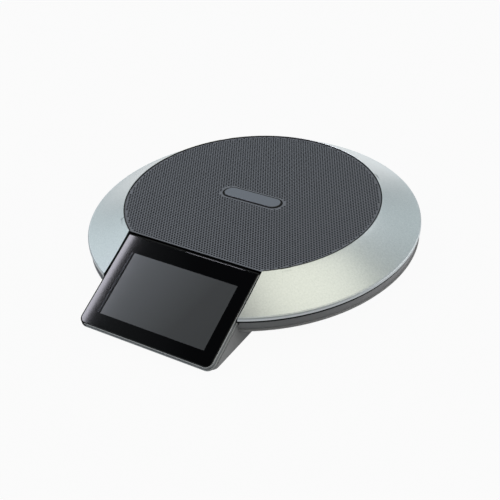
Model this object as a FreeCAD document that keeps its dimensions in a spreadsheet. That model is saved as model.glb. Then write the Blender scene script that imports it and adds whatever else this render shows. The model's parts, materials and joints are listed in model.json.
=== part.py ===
import FreeCAD, Part
import os
import re
import Sketcher

# A round hands-free conference IP phone. Millimetres, Z up, display towards -Y.
# Sub-parts are drawn about the disc's axis and then placed so that the origin is
# under the middle of the whole phone, on the table.

SIZES = {
    # Stand and disc
    "foot_height": 1.6,
    "disc_radius": 134.0,
    "base_wall": 2.2,
    "pedestal_inset": 3.0,
    "pedestal_draft": 1.5,
    "pedestal_height": 11.4,
    "underside_rise": 0.6,
    "rim_inset": 1.0,
    "rim_lift": 1.8,
    "rim_height": 7.4,
    "rim_draft": 1.4,
    "rim_chamfer": 3.0,
    "rim_wall": 1.6,
    "tongue_height": 1.8,
    "shadow_gap": 1.7,
    # Ring cover
    "ring_width": 31.0,
    "ring_wall": 1.6,
    "ring_hollow": 0.9,
    "ring_lip_height": 0.7,
    "ring_lip_round": 1.3,
    "ring_lip_step": 0.3,
    "ledge_width": 6.0,
    "ledge_thickness": 2.0,
    "ledge_root": 1.5,
    # Grille and badge
    "grille_gap": 0.6,
    "grille_recess": 0.4,
    "grille_thickness": 1.0,
    "cloth_thickness": 0.4,
    "cloth_inset": 0.6,
    "badge_length": 51.9,
    "badge_width": 12.6,
    "badge_thickness": 0.8,
    "badge_seat": 0.5,
    "badge_gap": 0.6,
    # Display, round the stated active area of a 4.3 inch panel
    "active_width": 95.04,
    "active_height": 53.86,
    "active_top": 13.96,
    "active_bottom": 13.18,
    "active_side": 12.3,
    "display_setback": 18.7,
    "display_drop": 2.23,
    "display_nose": 0.7,
    "display_clearance": 0.5,
    "bezel_border": 1.1,
    "bezel_corner": 6.5,
    "bezel_top_corner": 2.0,
    "glass_thickness": 1.2,
    "glass_fit": 0.1,
    "gasket_thickness": 0.3,
    "lcd_side": 5.23,
    "lcd_edge": 6.67,
    "lcd_thickness": 2.4,
    "lcd_clearance": 0.3,
    "bracket_thickness": 0.8,
    "bracket_lap": 3.25,
    "bracket_trim": 3.86,
    "bracket_top": 9.0,
    "standoff_height": 3.0,
    "standoff_radius": 2.5,
    "standoff_edge": 1.0,
    "display_board_side": 11.0,
    "display_board_edge": 7.0,
    "display_board_thickness": 1.2,
    "display_chip_pitch": 18.0,
    "display_screw_radius": 0.75,
    "display_head_radius": 1.3,
    "display_head_height": 1.0,
    "display_screw_length": 1.6,
    "display_screw_inset": 1.55,
    "display_screw_drop": 4.0,
    "wedge_inset": 0.6,
    "wedge_front_wall": 6.0,
    "wedge_corner": 6.0,
    "cavity_lap": 3.0,
    # Speaker deck
    "deck_rise": 6.3,
    "deck_thickness": 2.5,
    "deck_inset": 2.0,
    "deck_wall": 4.0,
    "deck_setback": 5.0,
    "opening_gap": 0.2,
    "leg_inset": 13.0,
    "leg_radius": 4.5,
    "leg_edge": 1.5,
    "leg_seat_height": 4.2,
    "seat_floor": 3.0,
    "tab_thickness": 1.5,
    "tab_width": 11.0,
    "tab_edge": 0.6,
    # Loudspeaker, stacked up from the floor of the base
    "magnet_room": 1.7,
    "yoke_thickness": 3.5,
    "magnet_height": 6.0,
    "top_plate_thickness": 4.0,
    "landing_thickness": 3.0,
    "basket_depth": 11.7,
    "basket_wall": 1.2,
    "gasket_height": 0.8,
    "gasket_gap": 0.4,
    "flange_thickness": 1.5,
    "flange_step": 0.8,
    "flange_width": 6.2,
    "window_inset": 4.0,
    "window_width": 16.0,
    "window_edge": 1.5,
    "magnet_radius": 30.0,
    "magnet_overhang": 2.0,
    "magnet_gap": 4.0,
    "landing_lap": 6.0,
    "spider_lap": 6.0,
    "spider_thickness": 0.5,
    "coil_gap": 0.4,
    "former_radius": 12.7,
    "former_wall": 0.4,
    "former_rise": 2.0,
    "former_length": 11.5,
    "winding_start": 1.0,
    "winding_height": 7.0,
    "winding_depth": 0.3,
    "neck_drop": 0.2,
    "cone_wall": 0.8,
    "cone_drop": 0.4,
    "cap_lap": 1.7,
    "cap_height": 3.6,
    "cap_wall": 0.5,
    "surround_inset": 63.2,
    "surround_width": 8.6,
    "surround_flat": 1.6,
    "surround_lap": 1.2,
    "surround_edge": 0.8,
    "surround_roll": 2.2,
    "surround_wall": 0.6,
    "speaker_screw_inset": 3.4,
    "chamber_gap": 4.0,
    "chamber_wall": 2.0,
    "seal_height": 1.2,
    # Main board and its parts
    "board_height": 13.2,
    "board_thickness": 1.6,
    "board_gap": 3.0,
    "board_edge": 3.5,
    "board_front": 23.1,
    "board_tab_width": 34.0,
    "board_tab_gap": 0.3,
    "board_tab_root": 12.0,
    "board_post_inset": 4.0,
    "board_post_radius": 3.0,
    "board_screw_length": 7.0,
    "can_length": 30.0,
    "can_width": 18.0,
    "can_height": 4.0,
    "transformer_side": 14.0,
    "transformer_height": 11.0,
    "capacitor_radius": 4.0,
    "capacitor_height": 12.0,
    "capacitor_shift": 4.0,
    "chip_side": 9.0,
    "chip_height": 1.2,
    "connector_length": 14.0,
    "connector_width": 6.0,
    "connector_height": 2.4,
    # Network bay, jack and reset key
    "bay_width": 34.0,
    "bay_depth": 12.0,
    "bay_height": 11.2,
    "jack_width": 16.0,
    "jack_length": 21.8,
    "jack_lift": 0.3,
    "jack_clearance": 0.2,
    "socket_width": 11.8,
    "socket_height": 6.8,
    "socket_depth": 14.0,
    "socket_floor": 1.1,
    "latch_width": 6.2,
    "latch_height": 1.6,
    "reset_gap": 4.5,
    "reset_lift": 5.2,
    "key_radius": 0.9,
    "key_clearance": 0.4,
    "key_recess": 0.4,
    "key_flange_radius": 1.7,
    "key_flange_length": 0.7,
    "key_travel": 0.5,
    "key_slack": 1.0,
    "key_stem": 2.0,
    "switch_width": 6.0,
    "switch_length": 5.4,
    "switch_drop": 3.4,
    # Microphones
    "mic_offset": 1.0,
    "port_width": 7.6,
    "port_depth": 2.7,
    "port_clearance": 0.2,
    "port_sink": 0.3,
    "port_slot_width": 0.8,
    "port_slot_length": 5.6,
    "port_slot_inset": 0.64,
    "boot_radius": 3.5,
    "boot_height": 2.2,
    "boot_floor": 0.5,
    "boot_clearance": 0.3,
    "capsule_radius": 2.2,
    "capsule_height": 1.6,
    "harness_inset": 7.8,
    "harness_width": 2.4,
    "harness_thickness": 0.4,
    # Fasteners and the holes for them
    "case_screw_radius": 1.5,
    "case_head_radius": 2.8,
    "case_head_height": 2.2,
    "case_screw_length": 11.0,
    "small_screw_radius": 1.25,
    "small_head_radius": 2.2,
    "small_head_height": 1.6,
    "screw_clearance": 0.1,
    "hole_clearance": 0.2,
    "bore_clearance": 0.4,
    "pilot_skin": 0.5,
    "pilot_room": 0.4,
    "cut_margin": 1.0,
    # Feet, vents and label recess
    "foot_inset": 18.0,
    "foot_radius": 7.0,
    "front_foot_radius": 5.0,
    "front_foot_side": 13.45,
    "front_foot_inset": 16.3,
    "foot_recess": 0.6,
    "vent_width": 2.0,
    "vent_gap": 8.0,
    "vent_length": 12.0,
    "label_width": 56.0,
    "label_height": 26.0,
    "label_depth": 0.3,
    # Ribbon
    "ribbon_width": 12.0,
    "ribbon_thickness": 0.3,
    "ribbon_gap": 6.0,
    "ribbon_offset": 32.0,
    "ribbon_setback": 17.04,
    "ribbon_lap": 1.0,
    "ribbon_edge": 0.5,
    "ribbon_end_gap": 0.2,
}

doc = FreeCAD.newDocument("desk_ip_phone")
sheet = doc.addObject("Spreadsheet::Sheet", "Sizes")
for row, (alias, size) in enumerate(SIZES.items(), 1):
    sheet.set(f"A{row}", str(size))
    sheet.setAlias(f"A{row}", alias)
doc.recompute()

# Heights, stacked up from the table: base floor, loudspeaker, deck, ring and grille
FLOOR = "(foot_height + base_wall)"
MAGNET_BOTTOM = f"({FLOOR} + magnet_room + yoke_thickness)"
MAGNET_TOP = f"({MAGNET_BOTTOM} + magnet_height)"
PLATE_TOP = f"({MAGNET_TOP} + top_plate_thickness)"
LANDING_TOP = f"({PLATE_TOP} + landing_thickness)"
FLANGE_TOP = f"({LANDING_TOP} + basket_depth)"
FLANGE_BOTTOM = f"({FLANGE_TOP} - flange_thickness)"
DECK_BOTTOM = f"({FLANGE_TOP} + gasket_height)"
DECK_TOP = f"({DECK_BOTTOM} + deck_thickness)"
LEDGE_BOTTOM = f"({DECK_BOTTOM} + deck_rise)"
LEDGE_TOP = f"({LEDGE_BOTTOM} + ledge_thickness)"
GRILLE_BOTTOM = f"({LEDGE_TOP} + cloth_thickness)"
GRILLE_TOP = f"({GRILLE_BOTTOM} + grille_thickness)"
RING_TOP = f"({GRILLE_TOP} + grille_recess)"
UNDERSIDE = "(foot_height + pedestal_height)"
RIM_BOTTOM = f"({UNDERSIDE} + rim_lift)"
RIM_TOP = f"({RIM_BOTTOM} + rim_height)"
RING_LIP_BOTTOM = f"({RIM_TOP} + shadow_gap)"
RING_LIP_TOP = f"({RING_LIP_BOTTOM} + ring_lip_height)"
LEG_SEAT = f"({FLOOR} + leg_seat_height)"
SCREW_SEAT = f"({LEG_SEAT} - seat_floor)"
BOARD_BOTTOM = f"({FLOOR} + board_height)"
BOARD_TOP = f"({BOARD_BOTTOM} + board_thickness)"
BAY_TOP = f"({FLOOR} + bay_height)"
RESET_HEIGHT = f"({FLOOR} + reset_lift)"
TAB_TOP = f"({DECK_BOTTOM} + tab_thickness)"
BOOT_TOP = f"({TAB_TOP} + boot_height)"

# Reaches from the disc's axis, all worked in from its edge
RING_INNER = "(disc_radius - ring_width)"
PEDESTAL_RADIUS = f"({RING_INNER} - pedestal_inset)"
DISPLAY_REACH = f"({RING_INNER} - display_setback)"
SURROUND_OUTER = f"({RING_INNER} - surround_inset)"
RIM_RADIUS = "(disc_radius - rim_inset)"
GRILLE_RADIUS = f"({RING_INNER} - grille_gap)"
DECK_RADIUS = f"({RING_INNER} - deck_inset)"
RING_SCREW_CIRCLE = f"({DECK_RADIUS} - deck_wall / 2)"
MIC_CIRCLE = f"({RING_INNER} + mic_offset)"
HARNESS_INNER = f"({DECK_RADIUS} - harness_inset)"
LEG_CIRCLE = f"({DECK_RADIUS} - leg_inset)"
FOOT_CIRCLE = f"({PEDESTAL_RADIUS} - foot_inset)"
BAY_FRONT = f"({PEDESTAL_RADIUS} - bay_depth)"
RESET_OFFSET = "(jack_width / 2 + reset_gap)"
DECK_OPENING = f"({SURROUND_OUTER} + opening_gap)"
FLANGE_RADIUS = f"({SURROUND_OUTER} + flange_width)"
SPEAKER_SCREW_CIRCLE = f"({SURROUND_OUTER} + speaker_screw_inset)"
CHAMBER_INNER = f"({FLANGE_RADIUS} + chamber_gap)"
CHAMBER_OUTER = f"({CHAMBER_INNER} + chamber_wall)"
CONE_RADIUS = f"({SURROUND_OUTER} - surround_width)"
YOKE_RADIUS = "(magnet_radius - magnet_overhang)"
LANDING_RADIUS = f"({YOKE_RADIUS} - landing_lap)"
COIL_OUTER = "(former_radius + winding_depth)"
BOARD_INNER = f"({CHAMBER_OUTER} + board_gap)"
BOARD_OUTER = f"({LEG_CIRCLE} - leg_radius - board_edge)"
BOARD_POST_CIRCLE = f"({BOARD_OUTER} - board_post_inset)"
PART_CIRCLE = f"(({BOARD_INNER} + {BOARD_OUTER}) / 2)"
VENT_INNER = f"({CHAMBER_OUTER} + vent_gap)"
RIBBON_INNER = f"({CHAMBER_OUTER} + ribbon_gap)"
RIBBON_TURN = f"sqrt(({RIBBON_INNER} + ribbon_width / 2)^2 - ribbon_offset^2)"
DECK_CHORD = f"({DISPLAY_REACH} - deck_setback)"
RIBBON_REACH = f"({DISPLAY_REACH} + ribbon_setback)"

# The display runs from just under the ring's top down to its nose above the table
DISPLAY_WIDTH = "(active_width + 2 * active_side)"
DISPLAY_LENGTH = "(active_top + active_height + active_bottom)"
LCD_WIDTH = "(active_width + 2 * lcd_side)"
LCD_HEIGHT = "(active_height + 2 * lcd_edge)"
BRACKET_WIDTH = f"({LCD_WIDTH} + 2 * bracket_lap)"
BRACKET_HEIGHT = "(active_height - bracket_trim)"
BEZEL_THICKNESS = "(glass_thickness + gasket_thickness + lcd_thickness)"
BRACKET_DEPTH = f"({BEZEL_THICKNESS} + bracket_thickness)"
DISPLAY_BOARD_DEPTH = f"({BRACKET_DEPTH} + standoff_height + display_board_thickness)"
ACTIVE_MIDDLE = "(active_top + active_height / 2)"
BRACKET_MIDDLE = f"(bracket_top + {BRACKET_HEIGHT} / 2)"
DISPLAY_TOP = f"({RING_TOP} - display_drop)"
TILT = (f"(asin(({DISPLAY_TOP} - display_nose) / sqrt({DISPLAY_LENGTH}^2 + {BEZEL_THICKNESS}^2))"
        f" - atan({BEZEL_THICKNESS} / {DISPLAY_LENGTH}))")
UNDER_Y = f"(-{DISPLAY_REACH} + {BEZEL_THICKNESS} * sin({TILT}))"
UNDER_Z = f"({DISPLAY_TOP} - {BEZEL_THICKNESS} * cos({TILT}))"
WEDGE_TIP = f"({UNDER_Y} - ({UNDER_Z} - foot_height) / tan({TILT}))"
DISC_AXIS = f"(({DISPLAY_REACH} + {DISPLAY_LENGTH} * cos({TILT}) - disc_radius) / 2)"

# Cutting tools run right past the phone, and an arc over a right angle has this sag for its radius
FAR = "(disc_radius * 2)"
ABOVE = f"({RING_TOP} * 2)"
QUARTER_SAG = "(1 - cos(45))"

# The hollow of the ring is turned from this many straight strips, and its lip round from two
RING_STRIPS = 4
RING_FALL = f"({RING_TOP} - {RING_LIP_TOP} - ring_lip_round)"
RING_RUN = "(ring_width - ring_lip_round)"

# Angles about the disc's axis, from the right-hand side, with the display at 270 degrees
MIC_ANGLES = (45, 135, 225, 315)
FRONT_LEG = f"asin(({DECK_CHORD} - leg_radius - leg_edge) / {LEG_CIRCLE})"
LEG_ANGLES = ("15", "62", "118", "165", f"180 deg + {FRONT_LEG}", f"-{FRONT_LEG}")
RING_SCREW_ANGLES = (20, 70, 110, 160, 200, 340)
SPEAKER_SCREW_ANGLES = (45, 135, 225, 315)
BASKET_WINDOW_ANGLES = range(0, 360, 60)
BOARD_SCREW_ANGLES = (30, 72, 108, 150)
BASE_FOOT_ANGLES = (38, 142, 200, 340)
VENT_ANGLES = (42, 46, 50, 54, 58, 122, 126, 130, 134, 138)
CAN_ANGLE = 48
TRANSFORMER_ANGLE = 122
CAPACITOR_ANGLES = (136, 146)
CHIP_ANGLES = (80, 98)
SPEAKER_PLUG_ANGLE = 40
RIBBON_ANGLE = 156

subparts = {}


def bound(text):
    """The expression with every size name pointing at the sheet."""
    return re.sub(r"[a-z_]+", lambda word: f"Sizes.{word[0]}" if word[0] in SIZES else word[0], text)


def value(text):
    """What an expression comes to now, as a plain number."""
    return float(sheet.evalExpression(bound(text)))


def bind(thing, prop, text):
    thing.setExpression(prop, bound(text))


def place(thing, x="0", y="0", z="0"):
    for axis, text in zip("xyz", (x, y, z)):
        bind(thing, f"Placement.Base.{axis}", text)


def turn(thing, axis, angle):
    thing.Placement = FreeCAD.Placement(FreeCAD.Vector(), FreeCAD.Rotation(axis, value(angle)))
    bind(thing, "Placement.Rotation.Angle", angle)


def cylinder(name, radius, bottom, top, x="0", y="0"):
    made = doc.addObject("Part::Cylinder", name)
    bind(made, "Radius", radius)
    bind(made, "Height", f"({top}) - ({bottom})")
    place(made, x, y, bottom)
    return made


def sphere(name, radius, middle):
    made = doc.addObject("Part::Sphere", name)
    bind(made, "Radius", radius)
    place(made, z=middle)
    return made


def box(name, x_span, y_span, z_span):
    """A box between the two ends given along each axis."""
    made = doc.addObject("Part::Box", name)
    for prop, (low, high) in zip(("Length", "Width", "Height"), (x_span, y_span, z_span)):
        bind(made, prop, f"({high}) - ({low})")
    place(made, x_span[0], y_span[0], z_span[0])
    return made


def centred(middle, length):
    return f"{middle} - {length} / 2", f"{middle} + {length} / 2"


def polar_box(name, reach, width, z_span, angle):
    """A box lying along the ray at this angle about the disc's axis."""
    made = doc.addObject("Part::Box", name)
    bind(made, "Length", f"({reach[1]}) - ({reach[0]})")
    bind(made, "Width", width)
    bind(made, "Height", f"({z_span[1]}) - ({z_span[0]})")
    turn(made, FreeCAD.Vector(0, 0, 1), str(angle))
    place(
        made,
        f"({reach[0]}) * cos({angle}) + ({width}) / 2 * sin({angle})",
        f"({reach[0]}) * sin({angle}) - ({width}) / 2 * cos({angle})",
        z_span[0],
    )
    return made


def polar_cylinder(name, radius, bottom, top, circle, angle):
    return cylinder(name, radius, bottom, top, f"({circle}) * cos({angle})", f"({circle}) * sin({angle})")


def along_y(name, radius, start, stop):
    """A cylinder lying along Y on the reset key's axis."""
    made = doc.addObject("Part::Cylinder", name)
    bind(made, "Radius", radius)
    bind(made, "Height", f"({stop}) - ({start})")
    turn(made, FreeCAD.Vector(1, 0, 0), "-90")
    place(made, RESET_OFFSET, start, RESET_HEIGHT)
    return made


def fused(name, pieces):
    made = doc.addObject("Part::MultiFuse", name)
    made.Shapes = pieces
    return made


def gathered(name, pieces):
    """One tool for a cut, from one piece or several."""
    return pieces[0] if len(pieces) == 1 else fused(name, pieces)


def cut(name, base, tools):
    made = doc.addObject("Part::Cut", name)
    made.Base = base
    made.Tool = gathered(f"{name}_tools", tools)
    return made


def overlap(name, pieces):
    made = doc.addObject("Part::MultiCommon", name)
    made.Shapes = pieces
    return made


def sketch_on(body, role, name, outline):
    """A closed sketch whose corners, and arc radii, are all bound to the sheet.

    Each corner is (across, up) or (across, up, sag), where sag makes the side that
    leaves the corner an arc standing that far to the left of its chord.
    """
    sketch = body.newObject("Sketcher::SketchObject", name)
    plane = next(f for f in body.Origin.OriginFeatures if f.Role == role)
    sketch.AttachmentSupport = [(plane, "")]
    sketch.MapMode = "FlatFace"
    corners = [FreeCAD.Vector(value(c[0]), value(c[1]), 0) for c in outline]
    count = len(outline)
    ends = []
    for i in range(count):
        start, stop = corners[i], corners[(i + 1) % count]
        if len(outline[i]) == 2:
            sketch.addGeometry(Part.LineSegment(start, stop), False)
            ends.append((1, 2))
            continue
        sag = value(outline[i][2])
        side = (stop - start).normalize()
        middle = (start + stop) / 2 + FreeCAD.Vector(-side.y, side.x, 0) * sag
        # A sketch's arcs run anticlockwise, so one that stands to the left starts at its far end
        if sag < 0:
            sketch.addGeometry(Part.Arc(start, middle, stop), False)
            ends.append((1, 2))
        else:
            sketch.addGeometry(Part.Arc(stop, middle, start), False)
            ends.append((2, 1))
    for i in range(count):
        after = (i + 1) % count
        sketch.addConstraint(Sketcher.Constraint("Coincident", i, ends[i][1], after, ends[after][0]))
    for i in range(count):
        for kind, text, at in zip(("DistanceX", "DistanceY"), outline[i], corners[i]):
            index = sketch.addConstraint(Sketcher.Constraint(kind, -1, 1, i, ends[i][0], at))
            bind(sketch, f"Constraints[{index}]", text)
        if len(outline[i]) == 3:
            after = outline[(i + 1) % count]
            chord = f"((({after[0]}) - ({outline[i][0]}))^2 + (({after[1]}) - ({outline[i][1]}))^2)"
            rise = f"abs({outline[i][2]})"
            radius = f"({chord} / 4 + {rise}^2) / (2 * {rise})"
            index = sketch.addConstraint(Sketcher.Constraint("Radius", i, value(radius)))
            bind(sketch, f"Constraints[{index}]", radius)
    return sketch


def turned(name, outline):
    """A body turned about the disc's axis from (radius, height) corners."""
    body = doc.addObject("PartDesign::Body", name)
    sketch = sketch_on(body, "XZ_Plane", f"{name}_section", outline)
    spin = body.newObject("PartDesign::Revolution", f"{name}_spin")
    spin.Profile = sketch
    spin.ReferenceAxis = (sketch, ["V_Axis"])
    spin.Angle = 360
    return body


def tube(name, inner, outer, bottom, top):
    corners = [(inner, bottom), (outer, bottom), (outer, top), (inner, top)]
    return turned(name, corners)


def side_pad(name, outline, width):
    """A body padded both ways from (y, z) corners on the phone's middle plane."""
    body = doc.addObject("PartDesign::Body", name)
    sketch = sketch_on(body, "YZ_Plane", f"{name}_side", outline)
    pad = body.newObject("PartDesign::Pad", f"{name}_pad")
    pad.Profile = sketch
    bind(pad, "Length", width)
    pad.Midplane = True
    return body


def flat_pad(name, outline, bottom, top):
    """A body padded up from (x, y) corners."""
    body = doc.addObject("PartDesign::Body", name)
    sketch = sketch_on(body, "XY_Plane", f"{name}_outline", outline)
    bind(sketch, "AttachmentOffset.Base.z", bottom)
    pad = body.newObject("PartDesign::Pad", f"{name}_pad")
    pad.Profile = sketch
    bind(pad, "Length", f"({top}) - ({bottom})")
    return body


def rounded_plate(name, width, low, high, low_corner, high_corner, bottom, top):
    """A plate from y low to y high, with its own corner radius at either end."""
    half = f"({width}) / 2"
    low_sag = f"-({low_corner}) * {QUARTER_SAG}"
    high_sag = f"-({high_corner}) * {QUARTER_SAG}"
    outline = [
        (f"-({half}) + ({low_corner})", low),
        (f"({half}) - ({low_corner})", low, low_sag),
        (half, f"({low}) + ({low_corner})"),
        (half, f"({high}) - ({high_corner})", high_sag),
        (f"({half}) - ({high_corner})", high),
        (f"-({half}) + ({high_corner})", high, high_sag),
        (f"-({half})", f"({high}) - ({high_corner})"),
        (f"-({half})", f"({low}) + ({low_corner})", low_sag),
    ]
    return flat_pad(name, outline, bottom, top)


def stadium(name, length, width, bottom, top):
    """A plate with full round ends along X, at the disc's axis."""
    reach = f"(({length}) - ({width})) / 2"
    half = f"({width}) / 2"
    middle = box(f"{name}_middle", (f"-({reach})", reach), (f"-{half}", half), (bottom, top))
    ends = [cylinder(f"{name}_end_{side}", half, bottom, top, f"{sign}({reach})")
            for side, sign in (("left", "-"), ("right", ""))]
    return fused(name, [middle] + ends)


def keep(label, made):
    """Takes a finished piece drawn about the disc's axis as a sub-part."""
    if made.TypeId in ("Part::Box", "Part::Cylinder"):
        made = held(f"{label}_held", made)
    made.Label = label
    place(made, y=DISC_AXIS)
    subparts[label] = made


def held(name, piece):
    """A primitive has its place already, so a compound round it takes the sub-part's own."""
    made = doc.addObject("Part::Compound", name)
    made.Links = [piece]
    return made


def keep_tilted(label, made):
    """Takes a piece drawn in the display's frame: y runs up the slope, z out of the glass."""
    made.Label = label
    turn(made, FreeCAD.Vector(1, 0, 0), TILT)
    place(made, "0", f"{DISC_AXIS} - {DISPLAY_REACH}", DISPLAY_TOP)
    subparts[label] = made


def display_space(name, grow, under):
    """The tilted room of the display, cut out of whatever it passes through."""
    room = doc.addObject("Part::Box", name)
    bind(room, "Length", f"{DISPLAY_WIDTH} + 2 * ({grow})")
    bind(room, "Width", FAR)
    bind(room, "Height", FAR)
    turn(room, FreeCAD.Vector(1, 0, 0), TILT)
    back = f"(({grow}) - {FAR})"
    place(
        room,
        f"-({DISPLAY_WIDTH} / 2 + ({grow}))",
        f"-{DISPLAY_REACH} + {back} * cos({TILT}) + ({under}) * sin({TILT})",
        f"{DISPLAY_TOP} + {back} * sin({TILT}) - ({under}) * cos({TILT})",
    )
    return room


def base_shell():
    rim_foot = f"({RIM_RADIUS} - rim_draft)"
    inner_rim = f"{RIM_RADIUS} - rim_wall - base_wall"
    tub = turned("base_tub", [
        ("0", "foot_height"),
        (PEDESTAL_RADIUS, "foot_height"),
        (f"{PEDESTAL_RADIUS} + pedestal_draft", UNDERSIDE),
        (f"{rim_foot} - rim_chamfer", f"{UNDERSIDE} + underside_rise"),
        (rim_foot, RIM_BOTTOM),
        (RIM_RADIUS, RIM_TOP),
        (f"{RIM_RADIUS} - rim_wall", RIM_TOP),
        (f"{RIM_RADIUS} - rim_wall", f"{RIM_TOP} + tongue_height"),
        (inner_rim, f"{RIM_TOP} + tongue_height"),
        (inner_rim, f"{RIM_BOTTOM} + base_wall"),
        (f"{rim_foot} - rim_chamfer", f"{UNDERSIDE} + underside_rise + base_wall"),
        (f"{PEDESTAL_RADIUS} + pedestal_draft - base_wall", f"{UNDERSIDE} + base_wall"),
        (f"{PEDESTAL_RADIUS} - base_wall", FLOOR),
        ("0", FLOOR),
    ])
    wedge_width = f"({DISPLAY_WIDTH} - 2 * wedge_inset)"
    wedge_slope = side_pad("wedge_slope", [
        (UNDER_Y, UNDER_Z),
        (WEDGE_TIP, "foot_height"),
        (UNDER_Y, "foot_height"),
    ], wedge_width)
    wedge_plan = rounded_plate("wedge_plan", wedge_width, WEDGE_TIP, "0", "wedge_corner", "wedge_corner",
                               "0", ABOVE)
    wedge = overlap("base_wedge", [wedge_slope, wedge_plan])
    bay_block = box(
        "bay_block",
        ("-bay_width / 2 - base_wall", "bay_width / 2 + base_wall"),
        (f"{BAY_FRONT} - base_wall", f"{PEDESTAL_RADIUS} - pedestal_draft"),
        ("foot_height", f"{BAY_TOP} + base_wall"),
    )
    chamber = tube("chamber_ring", CHAMBER_INNER, CHAMBER_OUTER,
                   "foot_height + base_wall / 2", f"{DECK_BOTTOM} - seal_height")
    solids = [tub, wedge, bay_block, chamber]
    for number, angle in enumerate(LEG_ANGLES, 1):
        solids.append(polar_cylinder(f"leg_seat_{number}", "leg_radius", "foot_height", LEG_SEAT,
                                     LEG_CIRCLE, angle))
    for angle in BOARD_SCREW_ANGLES:
        solids.append(polar_cylinder(f"board_post_{angle}", "board_post_radius", "foot_height",
                                     BOARD_BOTTOM, BOARD_POST_CIRCLE, angle))
    inside = f"({wedge_width} / 2 - base_wall)"
    tools = [
        box("wedge_cavity", (f"-{inside}", inside),
            (f"{WEDGE_TIP} + wedge_front_wall", f"-{DECK_CHORD} + cavity_lap"), (FLOOR, ABOVE)),
        display_space("base_display_room", "display_clearance", BEZEL_THICKNESS),
        box("bay_room", ("-bay_width / 2", "bay_width / 2"),
            (BAY_FRONT, f"{PEDESTAL_RADIUS} + pedestal_draft"), ("0", BAY_TOP)),
        box("jack_window", ("-jack_width / 2 - jack_clearance", "jack_width / 2 + jack_clearance"),
            (f"{BAY_FRONT} - base_wall - cut_margin", f"{BAY_FRONT} + cut_margin"),
            (FLOOR, f"{BAY_TOP} + base_wall + cut_margin")),
        box("label_recess", ("-label_width / 2", "label_width / 2"),
            ("-label_height / 2", "label_height / 2"), ("0", "foot_height + label_depth")),
        along_y("reset_hole", "key_radius + key_clearance",
                f"{BAY_FRONT} - base_wall - cut_margin", f"{BAY_FRONT} + cut_margin"),
    ]
    for number, angle in enumerate(LEG_ANGLES, 1):
        tools.append(polar_cylinder(f"leg_hole_{number}", "case_screw_radius + hole_clearance", "0",
                                    f"{LEG_SEAT} + cut_margin", LEG_CIRCLE, angle))
        tools.append(polar_cylinder(f"leg_bore_{number}", "case_head_radius + bore_clearance", "0",
                                    SCREW_SEAT, LEG_CIRCLE, angle))
    for angle in BOARD_SCREW_ANGLES:
        tools.append(polar_cylinder(f"post_hole_{angle}", "case_screw_radius + screw_clearance",
                                    f"{BOARD_BOTTOM} - board_screw_length - pilot_room",
                                    f"{BOARD_BOTTOM} + cut_margin", BOARD_POST_CIRCLE, angle))
    for angle in BASE_FOOT_ANGLES:
        tools.append(polar_cylinder(f"foot_seat_{angle}", "foot_radius + screw_clearance", "0",
                                    "foot_height + foot_recess", FOOT_CIRCLE, angle))
    for number, (x, y) in enumerate(front_foot_spots(), 1):
        tools.append(cylinder(f"front_seat_{number}", "front_foot_radius + screw_clearance", "0",
                              "foot_height + foot_recess", x, y))
    for angle in VENT_ANGLES:
        tools.append(polar_box(f"vent_{angle}", (VENT_INNER, f"{VENT_INNER} + vent_length"), "vent_width",
                               ("0", f"{FLOOR} + cut_margin"), angle))
    keep("base_shell", cut("base_shell", fused("base_solids", solids), tools))


def front_foot_spots():
    across = f"({DISPLAY_WIDTH} / 2 - front_foot_side)"
    return [(f"{sign}{across}", f"{WEDGE_TIP} + front_foot_inset") for sign in ("-", "")]


def ring_cover():
    inside = "disc_radius - ring_wall"
    hollow = []
    for strip in range(RING_STRIPS):
        share = strip / RING_STRIPS
        dip = 4 * share * (1 - share)
        hollow.append((f"{RING_INNER} + {share} * {RING_RUN}",
                       f"{RING_TOP} - {share} * {RING_FALL} - {dip} * ring_hollow"))
    shell = turned("ring_spin", hollow + [
        ("disc_radius - ring_lip_round", f"{RING_LIP_TOP} + ring_lip_round"),
        (f"disc_radius - ring_lip_round * {QUARTER_SAG}",
         f"{RING_LIP_TOP} + ring_lip_round * (1 - {QUARTER_SAG})"),
        ("disc_radius", RING_LIP_TOP),
        ("disc_radius", RING_LIP_BOTTOM),
        (inside, RING_LIP_BOTTOM),
        (inside, f"{RING_LIP_TOP} - ring_lip_step"),
        (f"{RING_INNER} + ledge_root", LEDGE_BOTTOM),
        (f"{RING_INNER} - ledge_width", LEDGE_BOTTOM),
        (f"{RING_INNER} - ledge_width", LEDGE_TOP),
        (RING_INNER, LEDGE_TOP),
    ])
    half = f"({DISPLAY_WIDTH} / 2 + display_clearance)"
    tools = [box("ring_break", (f"-{half}", half), (f"-{FAR}", "0"), ("0", ABOVE))]
    notch_span = (f"{RING_INNER} - port_clearance", f"{RING_INNER} + port_depth + 2 * port_clearance")
    for angle in MIC_ANGLES:
        tools.append(polar_box(f"port_notch_{angle}", notch_span, "port_width + 2 * port_clearance",
                               (DECK_BOTTOM, ABOVE), angle))
    for angle in RING_SCREW_ANGLES:
        tools.append(polar_cylinder(f"ring_tap_{angle}", "small_screw_radius + screw_clearance", DECK_BOTTOM,
                                    f"{LEDGE_TOP} - pilot_skin", RING_SCREW_CIRCLE, angle))
    keep("ring_cover", cut("ring_cover", shell, tools))


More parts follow.
